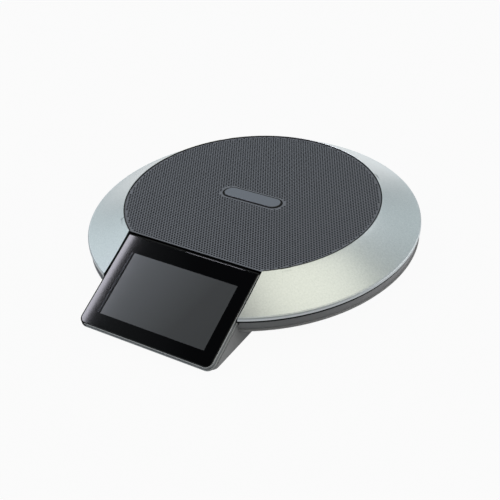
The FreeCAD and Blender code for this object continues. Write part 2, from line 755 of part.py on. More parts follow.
def grille_parts():
    chord = f"-{DISPLAY_REACH} + display_clearance"
    across = (f"-{FAR}", FAR)
    plate = cylinder("grille_round", GRILLE_RADIUS, GRILLE_BOTTOM, GRILLE_TOP)
    seat_floor = f"({GRILLE_TOP} - badge_seat)"
    seat = stadium("badge_room", "badge_length + 2 * badge_gap", "badge_width + 2 * badge_gap",
                   seat_floor, f"{GRILLE_TOP} + cut_margin")
    front = box("grille_front", across, (f"-{FAR}", chord), ("0", ABOVE))
    keep("grille_plate", cut("grille_plate", plate, [front, seat]))
    cloth = cylinder("cloth_round", f"{GRILLE_RADIUS} - cloth_inset", LEDGE_TOP, GRILLE_BOTTOM)
    cloth_front = box("cloth_front", across, (f"-{FAR}", f"{chord} + cloth_inset"), ("0", ABOVE))
    keep("grille_cloth", cut("grille_cloth", cloth, [cloth_front]))
    keep("badge_plate", stadium("badge_plate", "badge_length", "badge_width",
                                seat_floor, f"{seat_floor} + badge_thickness"))


def speaker_deck():
    wall_inside = f"({DECK_RADIUS} - deck_wall)"
    plate = turned("deck_spin", [
        (DECK_OPENING, DECK_BOTTOM),
        (DECK_RADIUS, DECK_BOTTOM),
        (DECK_RADIUS, LEDGE_BOTTOM),
        (wall_inside, LEDGE_BOTTOM),
        (wall_inside, DECK_TOP),
        (DECK_OPENING, DECK_TOP),
    ])
    solids = [plate]
    for number, angle in enumerate(LEG_ANGLES, 1):
        solids.append(polar_cylinder(f"deck_leg_{number}", "leg_radius", LEG_SEAT, DECK_TOP,
                                     LEG_CIRCLE, angle))
    for angle in MIC_ANGLES:
        tab_end = f"{MIC_CIRCLE} + boot_radius + tab_edge"
        solids.append(polar_box(f"mic_tab_{angle}", (RING_SCREW_CIRCLE, tab_end), "tab_width",
                                (DECK_BOTTOM, TAB_TOP), angle))
    tools = [box("deck_front", (f"-{FAR}", FAR), (f"-{FAR}", f"-{DECK_CHORD}"), ("0", ABOVE))]
    for number, angle in enumerate(LEG_ANGLES, 1):
        tools.append(polar_cylinder(f"leg_pilot_{number}", "case_screw_radius + screw_clearance", "0",
                                    f"{SCREW_SEAT} + case_screw_length + pilot_room", LEG_CIRCLE, angle))
    for angle in RING_SCREW_ANGLES:
        tools.append(polar_cylinder(f"ring_pass_{angle}", "small_screw_radius + screw_clearance", "0", ABOVE,
                                    RING_SCREW_CIRCLE, angle))
    for angle in SPEAKER_SCREW_ANGLES:
        tools.append(polar_cylinder(f"speaker_pilot_{angle}", "small_screw_radius + screw_clearance", "0",
                                    f"{DECK_TOP} - pilot_skin", SPEAKER_SCREW_CIRCLE, angle))
    # The boots stand in the corner beside the upright wall, which gives way to them
    for angle in MIC_ANGLES:
        tools.append(polar_cylinder(f"boot_room_{angle}", "boot_radius + boot_clearance", TAB_TOP, ABOVE,
                                    MIC_CIRCLE, angle))
    keep("speaker_deck", cut("speaker_deck", fused("deck_solids", solids), tools))


def display_parts():
    glass_width = f"({DISPLAY_WIDTH} - 2 * bezel_border)"
    glass_low = f"-{DISPLAY_LENGTH} + bezel_border"
    glass_corners = ("bezel_corner - bezel_border / 2", "bezel_top_corner - bezel_border / 2")
    glass_bed = "-glass_thickness - gasket_thickness"
    plate = rounded_plate("bezel_plate", DISPLAY_WIDTH, f"-{DISPLAY_LENGTH}", "0", "bezel_corner",
                          "bezel_top_corner", f"-{BEZEL_THICKNESS}", "0")
    glass_room = rounded_plate("bezel_glass_room", glass_width, glass_low, "-bezel_border", *glass_corners,
                               glass_bed, "cut_margin")
    lcd_half = f"({LCD_WIDTH} / 2 + lcd_clearance)"
    lcd_tall = f"({LCD_HEIGHT} / 2 + lcd_clearance)"
    window = box("bezel_window", (f"-{lcd_half}", lcd_half),
                 (f"-{ACTIVE_MIDDLE} - {lcd_tall}", f"-{ACTIVE_MIDDLE} + {lcd_tall}"),
                 (f"-{BEZEL_THICKNESS} - cut_margin", "cut_margin"))
    spots = display_screw_spots()
    screw_hole = "display_screw_radius + screw_clearance"
    pilots = [cylinder(f"bezel_pilot_{i}", screw_hole, f"-{BEZEL_THICKNESS} - cut_margin",
                       f"-{BEZEL_THICKNESS} + display_screw_length + pilot_room", x, y)
              for i, (x, y) in enumerate(spots)]
    keep_tilted("display_bezel", cut("display_bezel", plate, [glass_room, window] + pilots))

    fitted = (f"{glass_width} - 2 * glass_fit", f"{glass_low} + glass_fit", "-bezel_border - glass_fit",
              *glass_corners)
    keep_tilted("touch_glass", rounded_plate("touch_glass", *fitted, "-glass_thickness", "0"))
    frame = rounded_plate("gasket_plate", *fitted, glass_bed, "-glass_thickness")
    view = box("gasket_view", ("-active_width / 2", "active_width / 2"),
               ("-active_top - active_height", "-active_top"), (f"-{BEZEL_THICKNESS}", "cut_margin"))
    keep_tilted("display_gasket", cut("display_gasket", frame, [view]))
    panel = box("lcd_panel", (f"-{LCD_WIDTH} / 2", f"{LCD_WIDTH} / 2"),
                (f"-{ACTIVE_MIDDLE} - {LCD_HEIGHT} / 2", f"-{ACTIVE_MIDDLE} + {LCD_HEIGHT} / 2"),
                (f"-{BEZEL_THICKNESS}", glass_bed))
    keep_tilted("lcd_panel", held("lcd_panel_held", panel))

    low = f"-{BRACKET_DEPTH}"
    sheet_metal = box("bracket_sheet", (f"-{BRACKET_WIDTH} / 2", f"{BRACKET_WIDTH} / 2"),
                      (f"-bracket_top - {BRACKET_HEIGHT}", "-bracket_top"), (low, f"-{BEZEL_THICKNESS}"))
    posts = [cylinder(f"bracket_post_{i}", "standoff_radius", f"{low} - standoff_height", low, x, y)
             for i, (x, y) in enumerate(board_corner_spots())]
    passes = [cylinder(f"bracket_pass_{i}", screw_hole, f"{low} - cut_margin", "0", x, y)
              for i, (x, y) in enumerate(spots)]
    bracket_solids = fused("bracket_solids", [sheet_metal] + posts)
    keep_tilted("display_bracket", cut("display_bracket", bracket_solids, passes))
    screws = []
    for i, (x, y) in enumerate(spots):
        screws.append(cylinder(f"display_screw_{i}", "display_screw_radius", low,
                               f"-{BEZEL_THICKNESS} + display_screw_length", x, y))
        screws.append(cylinder(f"display_head_{i}", "display_head_radius",
                               f"{low} - display_head_height", low, x, y))
    keep_tilted("display_screws", fused("display_screws", screws))

    board_low = f"-{DISPLAY_BOARD_DEPTH}"
    half_width = f"({BRACKET_WIDTH} / 2 - display_board_side)"
    half_height = f"({BRACKET_HEIGHT} / 2 - display_board_edge)"
    board = box("display_board", (f"-{half_width}", half_width),
                (f"-{BRACKET_MIDDLE} - {half_height}", f"-{BRACKET_MIDDLE} + {half_height}"),
                (board_low, f"{low} - standoff_height"))
    keep_tilted("display_board", held("display_board_held", board))
    chips = []
    for step in (-1, 1, 3):
        x = f"({step} * display_chip_pitch / 2)"
        chips.append(box(f"display_chip_at_{step}", centred(x, "chip_side"),
                         centred(f"-{BRACKET_MIDDLE}", "chip_side"),
                         (f"{board_low} - chip_height", board_low)))
    plug_y = f"(-ribbon_setback / cos({TILT}) - {DISPLAY_BOARD_DEPTH} * tan({TILT}))"
    chips.append(box("display_plug", centred("-ribbon_offset", "ribbon_width"),
                     centred(plug_y, "connector_width"),
                     (f"{board_low} - connector_height", board_low)))
    keep_tilted("display_chips", fused("display_chips", chips))


def display_screw_spots():
    side = f"({LCD_WIDTH} / 2 + display_screw_inset)"
    downs = ("display_screw_drop", f"({BRACKET_HEIGHT} - display_screw_drop)")
    return [(f"{sign}{side}", f"-bracket_top - {down}") for sign in ("-", "") for down in downs]


def board_corner_spots():
    across = f"({BRACKET_WIDTH} / 2 - display_board_side - standoff_radius - standoff_edge)"
    reach = f"({BRACKET_HEIGHT} / 2 - display_board_edge - standoff_radius - standoff_edge)"
    rows = [f"-{BRACKET_MIDDLE} {sign} {reach}" for sign in ("-", "+")]
    return [(f"{side}{across}", row) for side in ("-", "") for row in rows]


def loudspeaker():
    roll_outer = f"({SURROUND_OUTER} - surround_flat)"
    basket = turned("basket_spin", [
        (LANDING_RADIUS, PLATE_TOP),
        ("magnet_radius + basket_wall / 2", PLATE_TOP),
        (f"{SURROUND_OUTER} + basket_wall", FLANGE_BOTTOM),
        (FLANGE_RADIUS, FLANGE_BOTTOM),
        (FLANGE_RADIUS, FLANGE_TOP),
        (roll_outer, FLANGE_TOP),
        (roll_outer, f"{FLANGE_TOP} - flange_step"),
        ("magnet_radius - basket_wall / 2", LANDING_TOP),
        (LANDING_RADIUS, LANDING_TOP),
    ])
    window_span = (f"{LANDING_RADIUS} + window_inset", FLANGE_RADIUS)
    window_height = (f"{LANDING_TOP} + window_edge", f"{FLANGE_BOTTOM} - window_edge")
    holes = [polar_box(f"basket_window_{angle}", window_span, "window_width", window_height, angle)
             for angle in BASKET_WINDOW_ANGLES]
    for angle in SPEAKER_SCREW_ANGLES:
        holes.append(polar_cylinder(f"basket_hole_{angle}", "small_screw_radius + screw_clearance",
                                    "0", ABOVE, SPEAKER_SCREW_CIRCLE, angle))
    keep("speaker_basket", cut("speaker_basket", basket, holes))
    keep("speaker_top_plate", tube("speaker_top_plate", f"{COIL_OUTER} + coil_gap", YOKE_RADIUS,
                                   MAGNET_TOP, PLATE_TOP))
    keep("speaker_magnet", tube("speaker_magnet", f"{COIL_OUTER} + magnet_gap", "magnet_radius",
                                MAGNET_BOTTOM, MAGNET_TOP))
    pole = "(former_radius - former_wall - coil_gap)"
    keep("speaker_yoke", turned("speaker_yoke", [
        ("0", f"{MAGNET_BOTTOM} - yoke_thickness"),
        (YOKE_RADIUS, f"{MAGNET_BOTTOM} - yoke_thickness"),
        (YOKE_RADIUS, MAGNET_BOTTOM),
        (pole, MAGNET_BOTTOM),
        (pole, PLATE_TOP),
        ("0", PLATE_TOP),
    ]))

    former_top = f"({LANDING_TOP} + former_rise)"
    former_bottom = f"({former_top} - former_length)"
    neck = f"({former_top} - neck_drop)"
    cone_rim = f"({FLANGE_TOP} - cone_drop)"
    keep("speaker_cone", turned("speaker_cone", [
        ("former_radius", f"{neck} - cone_wall"),
        (CONE_RADIUS, f"{cone_rim} - cone_wall"),
        (CONE_RADIUS, cone_rim),
        ("former_radius", neck),
    ]))
    cap_radius = "(former_radius + cap_lap)"
    cap_foot = f"({neck} + cap_lap * ({cone_rim} - {neck}) / ({CONE_RADIUS} - former_radius))"
    dome = f"(({cap_radius}^2 + cap_height^2) / (2 * cap_height))"
    centre = f"{cap_foot} + cap_height - {dome}"
    hollow = sphere("cap_inside", f"{dome} - cap_wall", centre)
    skin = cut("cap_skin", sphere("cap_outside", dome, centre), [hollow])
    keep("speaker_dust_cap", overlap("speaker_dust_cap", [
        skin, cylinder("cap_round", cap_radius, cap_foot, f"{cap_foot} + cap_height + cut_margin")]))
    winding_bottom = f"({former_bottom} + winding_start)"
    keep("voice_coil", turned("voice_coil", [
        ("former_radius - former_wall", former_bottom),
        ("former_radius", former_bottom),
        ("former_radius", winding_bottom),
        (COIL_OUTER, winding_bottom),
        (COIL_OUTER, f"{winding_bottom} + winding_height"),
        ("former_radius", f"{winding_bottom} + winding_height"),
        ("former_radius", former_top),
        ("former_radius - former_wall", former_top),
    ]))
    roll_inner = f"({CONE_RADIUS} + surround_edge)"
    keep("speaker_surround", turned("speaker_surround", [
        (f"{CONE_RADIUS} - surround_lap", cone_rim),
        (roll_inner, cone_rim, "surround_roll"),
        (roll_outer, FLANGE_TOP),
        (SURROUND_OUTER, FLANGE_TOP),
        (SURROUND_OUTER, f"{FLANGE_TOP} + surround_wall"),
        (f"{roll_outer} + surround_wall", f"{FLANGE_TOP} + surround_wall", "-surround_roll"),
        (f"{roll_inner} - surround_wall", f"{cone_rim} + surround_wall"),
        (f"{CONE_RADIUS} - surround_lap", f"{cone_rim} + surround_wall"),
    ]))
    keep("speaker_spider", tube("speaker_spider", "former_radius", f"{LANDING_RADIUS} + spider_lap",
                                LANDING_TOP, f"{LANDING_TOP} + spider_thickness"))
    gasket = tube("gasket_ring", f"{SURROUND_OUTER} + gasket_gap", FLANGE_RADIUS, FLANGE_TOP, DECK_BOTTOM)
    gasket_holes = [polar_cylinder(f"gasket_hole_{angle}", "small_screw_radius + screw_clearance", "0", ABOVE,
                                   SPEAKER_SCREW_CIRCLE, angle) for angle in SPEAKER_SCREW_ANGLES]
    keep("speaker_gasket", cut("speaker_gasket", gasket, gasket_holes))
    keep("chamber_seal", tube("chamber_seal", CHAMBER_INNER, CHAMBER_OUTER,
                              f"{DECK_BOTTOM} - seal_height", DECK_BOTTOM))
    keep("speaker_screws", fused("speaker_screws", screw_set(
        "speaker", SPEAKER_SCREW_ANGLES, SPEAKER_SCREW_CIRCLE, "small_screw_radius", "small_head_radius",
        (f"{FLANGE_BOTTOM} - small_head_height", FLANGE_BOTTOM), f"{DECK_TOP} - pilot_skin - pilot_room")))


def screw_set(name, angles, circle, radius, head_radius, head, tip):
    """Screws driven upwards, each a head and a shank that share the head's top face."""
    made = []
    for number, angle in enumerate(angles, 1):
        made.append(polar_cylinder(f"{name}_head_{number}", head_radius, head[0], head[1], circle, angle))
        made.append(polar_cylinder(f"{name}_shank_{number}", radius, head[0], tip, circle, angle))
    return made


def main_board():
    span = (BOARD_BOTTOM, BOARD_TOP)
    ring = tube("board_ring", BOARD_INNER, BOARD_OUTER, *span)
    back = box("board_back", (f"-{FAR}", FAR), ("board_front", FAR), span)
    tab = box("board_tab", ("-board_tab_width / 2", "board_tab_width / 2"),
              (f"{BOARD_OUTER} - board_tab_root", f"{BAY_FRONT} - base_wall - board_tab_gap"), span)
    holes = [polar_cylinder(f"board_hole_{angle}", "case_screw_radius + hole_clearance", "0", ABOVE,
                            BOARD_POST_CIRCLE, angle) for angle in BOARD_SCREW_ANGLES]
    solids = fused("board_solids", [overlap("board_sector", [ring, back]), tab])
    keep("main_board", cut("main_board", solids, holes))
    head_top = f"{BOARD_TOP} + case_head_height"
    screws = []
    for angle in BOARD_SCREW_ANGLES:
        screws.append(polar_cylinder(f"board_head_{angle}", "case_head_radius", BOARD_TOP, head_top,
                                     BOARD_POST_CIRCLE, angle))
        screws.append(polar_cylinder(f"board_shank_{angle}", "case_screw_radius",
                                     f"{BOARD_BOTTOM} - board_screw_length", head_top,
                                     BOARD_POST_CIRCLE, angle))
    keep("board_screws", fused("board_screws", screws))
    keep("shield_can", polar_box("shield_can", centred(PART_CIRCLE, "can_width"), "can_length",
                                 (BOARD_TOP, f"{BOARD_TOP} + can_height"), CAN_ANGLE))
    keep("board_transformer", polar_box("board_transformer", centred(PART_CIRCLE, "transformer_side"),
                                        "transformer_side", (BOARD_TOP, f"{BOARD_TOP} + transformer_height"),
                                        TRANSFORMER_ANGLE))
    keep("board_capacitors", fused("board_capacitors", [
        polar_cylinder(f"capacitor_{angle}", "capacitor_radius", BOARD_TOP, f"{BOARD_TOP} + capacitor_height",
                       f"{PART_CIRCLE} - capacitor_shift", angle) for angle in CAPACITOR_ANGLES]))
    keep("board_chips", fused("board_chips", [
        polar_box(f"chip_{angle}", centred(PART_CIRCLE, "chip_side"), "chip_side",
                  (BOARD_TOP, f"{BOARD_TOP} + chip_height"), angle) for angle in CHIP_ANGLES]))
    keep("board_connectors", fused("board_connectors", [
        polar_box(f"connector_{angle}", centred(PART_CIRCLE, "connector_length"), "connector_width",
                  (f"{BOARD_BOTTOM} - connector_height", BOARD_BOTTOM), angle)
        for angle in (SPEAKER_PLUG_ANGLE, RIBBON_ANGLE)]))


def network_jack():
    bottom = f"({FLOOR} + jack_lift)"
    socket_bottom = f"({bottom} + socket_floor)"
    mouth = (f"{BAY_FRONT} - socket_depth", f"{BAY_FRONT} + cut_margin")
    body = box("jack_body", ("-jack_width / 2", "jack_width / 2"), (f"{BAY_FRONT} - jack_length", BAY_FRONT),
               (bottom, BOARD_BOTTOM))
    socket = box("jack_socket", ("-socket_width / 2", "socket_width / 2"), mouth,
                 (socket_bottom, f"{socket_bottom} + socket_height"))
    latch = box("jack_latch", ("-latch_width / 2", "latch_width / 2"), mouth,
                (f"{socket_bottom} + socket_height / 2", f"{socket_bottom} + socket_height + latch_height"))
    keep("network_jack", cut("network_jack", body, [socket, latch]))


def reset_parts():
    switch_front = f"({BAY_FRONT} - base_wall - key_slack - key_flange_length - key_travel)"
    block = box("switch_block", centred(RESET_OFFSET, "switch_width"),
                (f"{switch_front} - switch_length", switch_front),
                (f"{RESET_HEIGHT} - switch_drop", BOARD_BOTTOM))
    stem_back = f"({switch_front} - key_stem)"
    bore = along_y("switch_bore", "key_radius + key_clearance", f"{stem_back} - key_travel - key_clearance",
                   f"{switch_front} + cut_margin")
    keep("reset_switch", cut("reset_switch", block, [bore]))
    flange_back = f"({switch_front} + key_travel + key_clearance / 2)"
    pin = along_y("reset_pin", "key_radius", stem_back, f"{BAY_FRONT} - key_recess")
    flange = along_y("reset_flange", "key_flange_radius", flange_back, f"{flange_back} + key_flange_length")
    keep("reset_key", fused("reset_key", [pin, flange]))


def microphones():
    inner = f"({RING_INNER} + port_clearance)"
    outer = f"({inner} + port_depth)"
    # The port's top falls as steeply as the ring's innermost strip
    slope = f"(({RING_FALL} + 4 * (1 - 1 / {RING_STRIPS}) * ring_hollow) / {RING_RUN})"
    port_top = f"{RING_TOP} - port_sink"
    capsule_bottom = f"({TAB_TOP} + boot_floor)"
    under_deck = (f"{DECK_BOTTOM} - harness_thickness", DECK_BOTTOM)
    harness = [tube("harness_ring", HARNESS_INNER, f"{HARNESS_INNER} + harness_width", *under_deck)]
    for number, angle in enumerate(MIC_ANGLES, 1):
        insert = turned(f"port_spin_{number}", [
            (inner, BOOT_TOP),
            (outer, BOOT_TOP),
            (outer, f"{port_top} - (port_depth + port_clearance) * {slope}"),
            (inner, f"{port_top} - port_clearance * {slope}"),
        ])
        sector = polar_box(f"port_sector_{number}", ("0", FAR), "port_width", (DECK_BOTTOM, ABOVE), angle)
        slot_outer = f"({outer} - port_slot_inset)"
        slot = polar_box(f"port_slot_{number}", (f"{slot_outer} - port_slot_width", slot_outer),
                         "port_slot_length", (DECK_BOTTOM, ABOVE), angle)
        block = overlap(f"port_block_{number}", [insert, sector])
        keep(f"mic_port_{number}", cut(f"mic_port_{number}", block, [slot]))
        rubber = polar_cylinder(f"boot_round_{number}", "boot_radius", TAB_TOP, BOOT_TOP, MIC_CIRCLE, angle)
        bore = polar_cylinder(f"boot_bore_{number}", "capsule_radius", capsule_bottom,
                              f"{BOOT_TOP} + cut_margin", MIC_CIRCLE, angle)
        keep(f"mic_boot_{number}", cut(f"mic_boot_{number}", rubber, [bore]))
        capsule = polar_cylinder(f"mic_capsule_{number}", "capsule_radius", capsule_bottom,
                                 f"{capsule_bottom} + capsule_height", MIC_CIRCLE, angle)
        keep(f"mic_capsule_{number}", capsule)
        tail_span = (f"{HARNESS_INNER} + harness_width / 2", MIC_CIRCLE)
        harness.append(polar_box(f"harness_tail_{number}", tail_span, "harness_width", under_deck, angle))
    front = box("harness_front", (f"-{FAR}", FAR), (f"-{FAR}", f"-{DECK_CHORD}"), ("0", ABOVE))
    keep("mic_harness", cut("mic_harness", fused("harness_solids", harness), [front]))


def fasteners_and_feet():
    keep("base_screws", fused("base_screws", screw_set(
        "base", LEG_ANGLES, LEG_CIRCLE, "case_screw_radius", "case_head_radius",
        (f"{SCREW_SEAT} - case_head_height", SCREW_SEAT), f"{SCREW_SEAT} + case_screw_length")))
    keep("ring_screws", fused("ring_screws", screw_set(
        "ring", RING_SCREW_ANGLES, RING_SCREW_CIRCLE, "small_screw_radius", "small_head_radius",
        (f"{DECK_BOTTOM} - small_head_height", DECK_BOTTOM), f"{LEDGE_TOP} - pilot_skin - pilot_room")))
    for number, angle in enumerate(BASE_FOOT_ANGLES, 1):
        keep(f"base_foot_{number}", polar_cylinder(f"base_foot_{number}", "foot_radius", "0",
                                                   "foot_height + foot_recess", FOOT_CIRCLE, angle))
    for number, (x, y) in enumerate(front_foot_spots(), 1):
        keep(f"front_foot_{number}", cylinder(f"front_foot_{number}", "front_foot_radius", "0",
                                              "foot_height + foot_recess", x, y))


def display_ribbon():
    """Lies on the floor round the sound chamber and rises to a connector at each end."""
    high = f"({FLOOR} + ribbon_thickness)"
    ribbon_outer = f"({RIBBON_INNER} + ribbon_width)"
    span = centred("-ribbon_offset", "ribbon_width")
    sector = tube("ribbon_ring", RIBBON_INNER, ribbon_outer, FLOOR, high)
    back_end = f"{ribbon_outer} * sin({RIBBON_ANGLE}) + ribbon_lap"
    left = box("ribbon_left", (f"-{FAR}", span[1]), (f"-{RIBBON_TURN} - ribbon_lap", back_end), ("0", ABOVE))
    strip = box("ribbon_strip", span, (f"-{RIBBON_REACH}", f"-{RIBBON_TURN}"), (FLOOR, high))
    plug_bottom = (f"({DISPLAY_TOP} - ribbon_setback * tan({TILT})"
                   f" - ({DISPLAY_BOARD_DEPTH} + connector_height) / cos({TILT}))")
    rise = box("ribbon_rise", span, (f"-{RIBBON_REACH}", f"-{RIBBON_REACH} + ribbon_thickness"),
               (FLOOR, f"{plug_bottom} - ribbon_end_gap"))
    lift = polar_box("ribbon_lift", (f"{RIBBON_INNER} + ribbon_edge", f"{ribbon_outer} - ribbon_edge"),
                     "ribbon_thickness", (FLOOR, f"{BOARD_BOTTOM} - connector_height"), RIBBON_ANGLE)
    round_part = overlap("ribbon_sector", [sector, left])
    keep("display_ribbon", fused("display_ribbon", [round_part, strip, rise, lift]))


base_shell()
ring_cover()
grille_parts()
speaker_deck()
display_parts()
loudspeaker()
main_board()
network_jack()
reset_parts()
microphones()
fasteners_and_feet()
display_ribbon()
doc.recompute()

for thing in doc.Objects:
    if "Invalid" in thing.State or "Error" in thing.State:
        raise RuntimeError(f"{thing.Name} did not build: {thing.getStatusString()}")
os.makedirs("parts", exist_ok=True)
for label, thing in subparts.items():
    shape = thing.Shape
    if shape.isNull() or not shape.isValid() or not shape.Solids:
        raise RuntimeError(f"{label} is not a valid solid")
    shape.exportStep(f"parts/{label}.step")
    room = shape.BoundBox
    print(f"{label}: {len(shape.Solids)} solid, volume {shape.Volume:.1f}, x {room.XMin:.1f} {room.XMax:.1f},"
          f" y {room.YMin:.1f} {room.YMax:.1f}, z {room.ZMin:.1f} {room.ZMax:.1f}")
print(len(subparts), "sub-parts")
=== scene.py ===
# %% [markdown]
# # A round conference phone
# The solids of the phone come from the CAD model and are loaded as a fixed frame.
# This lesson dresses them: it sets the camera and the studio, makes a finish for every material,
# and models again the pieces that carry the look, which are the ring, the grille, the badge and the display.
# Two soft rings inside the loudspeaker are modelled again too, because they have to bend.

# %% Load the frame
import json
import math

import bmesh
import bpy
from mathutils import Matrix, Vector


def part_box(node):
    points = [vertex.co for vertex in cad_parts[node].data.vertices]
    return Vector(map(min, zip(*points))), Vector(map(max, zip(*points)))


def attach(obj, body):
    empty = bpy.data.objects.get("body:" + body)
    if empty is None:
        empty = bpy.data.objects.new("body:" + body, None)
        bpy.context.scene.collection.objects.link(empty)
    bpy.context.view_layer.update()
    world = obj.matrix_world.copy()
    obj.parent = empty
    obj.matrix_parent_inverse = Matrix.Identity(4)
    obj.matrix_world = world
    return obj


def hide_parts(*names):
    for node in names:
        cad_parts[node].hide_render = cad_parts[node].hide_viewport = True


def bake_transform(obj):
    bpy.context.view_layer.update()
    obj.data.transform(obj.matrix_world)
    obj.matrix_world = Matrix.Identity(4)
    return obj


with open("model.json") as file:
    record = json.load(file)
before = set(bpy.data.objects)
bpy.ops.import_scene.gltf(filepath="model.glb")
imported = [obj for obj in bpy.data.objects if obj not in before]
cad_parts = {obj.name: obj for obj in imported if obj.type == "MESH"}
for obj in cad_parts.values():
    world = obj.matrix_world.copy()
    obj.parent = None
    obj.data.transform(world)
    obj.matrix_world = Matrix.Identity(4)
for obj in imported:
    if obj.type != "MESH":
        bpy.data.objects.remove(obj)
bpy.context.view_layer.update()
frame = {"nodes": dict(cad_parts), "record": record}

mm = 0.001
# Points nearer than this are one point, and a cut snaps to points nearer than the smaller one
weld = 0.001 * mm
cut_weld = 0.0001 * mm
# A grid of this size has sides of one, and a bevel of this profile is a part of a circle
unit_half = 0.5
round_profile = 0.5
scene = bpy.context.scene

# %% [markdown]
# ## Measures from the CAD model
# Most new pieces stand for a CAD node, so their place is read from that node's box and not typed in again.
# The few that the solids don't have are set against the same boxes.
# The disc's axis lies behind the middle of the phone, because the display reaches out at the front.

# %% Measures
ring_low, ring_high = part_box("ring_cover")
grille_low, grille_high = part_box("grille_plate")
badge_low, badge_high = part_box("badge_plate")
bezel_low, bezel_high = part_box("display_bezel")
spider_low, spider_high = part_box("speaker_spider")
surround_low, surround_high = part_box("speaker_surround")
disc_radius = ring_high.x
disc_axis = Vector((0, ring_high.y - disc_radius, 0))
print("disc radius", round(disc_radius / mm, 2), "axis at y", round(disc_axis.y / mm, 2))

# %% [markdown]
# ## Camera
# The photograph looks down on the phone from the front right with a moderate lens and a slight roll.
# Its place was worked out by matching the ring's ellipses and the display's corners,
# so the camera is set from those angles and not pointed by hand.

# %% Camera
azimuth = math.radians(34.01)
elevation = math.radians(34.24)
roll = math.radians(-4.1)
distance = 795.4 * mm
target = disc_axis + Vector((21.06, -39.9, 24.0)) * mm
film_width = 36
focal_length = 73.94
back = Vector((math.sin(azimuth) * math.cos(elevation), -math.cos(azimuth) * math.cos(elevation),
               math.sin(elevation)))
right = Vector((math.cos(azimuth), math.sin(azimuth), 0))
above = back.cross(right)
turned_right = right * math.cos(roll) + above * math.sin(roll)
turned_above = above * math.cos(roll) - right * math.sin(roll)
camera = bpy.data.objects.new("camera", bpy.data.cameras.new("camera"))
camera.data.sensor_width = film_width
camera.data.lens = focal_length
camera.matrix_world = Matrix.Translation(target + back * distance) @ Matrix(
    (turned_right, turned_above, back)).transposed().to_4x4()
scene.collection.objects.link(camera)
scene.camera = camera
print("camera at", [round(end, 3) for end in camera.matrix_world.translation])

# %% [markdown]
# ## Colours and nodes
# Colours are written as the sRGB hex values that one would read from a screen,
# and one function makes them linear by the usual sRGB curve.
# One more function adds a node: its properties, and for each input either a value or another node's output.

# %% Colour and node functions
def colour(text):
    """A linear colour from an sRGB hex value."""
    channels = [int(text[i:i + 2], 16) / 255 for i in (0, 2, 4)]
    return (*(c / 12.92 if c <= 0.04045 else ((c + 0.055) / 1.055) ** 2.4 for c in channels), 1.0)


def add(tree, kind, sockets, **settings):
    """A new node with its settings, and with its inputs given a value or a link."""
    node = tree.nodes.new(kind)
    for name, setting in settings.items():
        setattr(node, name, setting)
    for key, given in sockets.items():
        if isinstance(given, bpy.types.NodeSocket):
            tree.links.new(given, node.inputs[key])
        else:
            node.inputs[key].default_value = given
    return node


# %% [markdown]
# ## Studio
# The phone was photographed on a white sweep, with a bright panel overhead, a strip high on the left
# and two weaker panels low at the right and at the back. The strip's near edge is what shows as the pale band
# along the left of the glass, so that edge is laid where the glass looks to in reflection.
# The sky is pale and dark at the top, which leaves the rest of the glass black.
# Its grey was read off the ring: each part of the ring mirrors one height of the sky.
# The room is dimmer at the front right, so that the space under the disc stays dark.

# %% Sky
horizon_tint = "6e767a"
zenith_tint = "2c2e32"
sky_tints = {0.16: "c8d3d6", 0.33: "edf9fb", 0.62: "dce7ea", 0.86: zenith_tint}
dim_way = Vector((0.87, -0.5, 0))
dim_reach = 0.9
bright_strength = 1.1
dim_strength = 0.2
world = bpy.data.worlds.new("studio")
scene.world = world
world.use_nodes = True
sky = world.node_tree
direction = add(sky, "ShaderNodeTexCoord", {}).outputs["Generated"]
upward = add(sky, "ShaderNodeSeparateXYZ", {0: direction}).outputs["Z"]
ramp = add(sky, "ShaderNodeValToRGB", {"Fac": upward})
horizon, zenith = ramp.color_ramp.elements
horizon.color = colour(horizon_tint)
zenith.color = colour(zenith_tint)
for sky_height, sky_tint in sky_tints.items():
    ramp.color_ramp.elements.new(sky_height).color = colour(sky_tint)
toward = add(sky, "ShaderNodeVectorMath", {0: direction, 1: dim_way}, operation="DOT_PRODUCT")
dimmed = add(sky, "ShaderNodeMapRange", {"Value": toward.outputs["Value"], "From Min": -1.0,
                                         "From Max": dim_reach, "To Min": bright_strength,
                                         "To Max": dim_strength})
sky.links.new(ramp.outputs["Color"], sky.nodes["Background"].inputs["Color"])
sky.links.new(dimmed.outputs[0], sky.nodes["Background"].inputs["Strength"])
scene.view_settings.view_transform = "Standard"

# %% [markdown]
# The floor is white to the camera and in mirror images, and a grey paper to the light that falls on it,
# so that it keeps the phone's shadow and doesn't flood the phone from below.

# %% Floor
floor_reach = 6.0
white_amount = 0.95
floor_mesh = bmesh.new()
bmesh.ops.create_grid(floor_mesh, x_segments=1, y_segments=1, size=floor_reach)
floor = bpy.data.objects.new("floor", bpy.data.meshes.new("floor"))
floor_mesh.to_mesh(floor.data)
floor_mesh.free()
scene.collection.objects.link(floor)
paper = bpy.data.materials.new("white_paper_sweep")
paper.use_nodes = True
sweep = paper.node_tree
sweep.nodes.remove(sweep.nodes["Principled BSDF"])
rays = add(sweep, "ShaderNodeLightPath", {})
mirrored = add(sweep, "ShaderNodeMath", {0: rays.outputs["Is Camera Ray"], 1: rays.outputs["Is Glossy Ray"]},
               operation="MAXIMUM")
looked_at = add(sweep, "ShaderNodeMath", {0: mirrored.outputs[0], 1: rays.outputs["Is Transmission Ray"]},
                operation="MAXIMUM")
whitened = add(sweep, "ShaderNodeMath", {0: looked_at.outputs[0], 1: white_amount}, operation="MULTIPLY")
diffuse = add(sweep, "ShaderNodeBsdfDiffuse", {"Color": colour("a0a0a0")})
white = add(sweep, "ShaderNodeEmission", {"Color": colour("ffffff"), "Strength": 1.0})
mixed = add(sweep, "ShaderNodeMixShader", {0: whitened.outputs[0], 1: diffuse.outputs[0],
                                           2: white.outputs[0]})
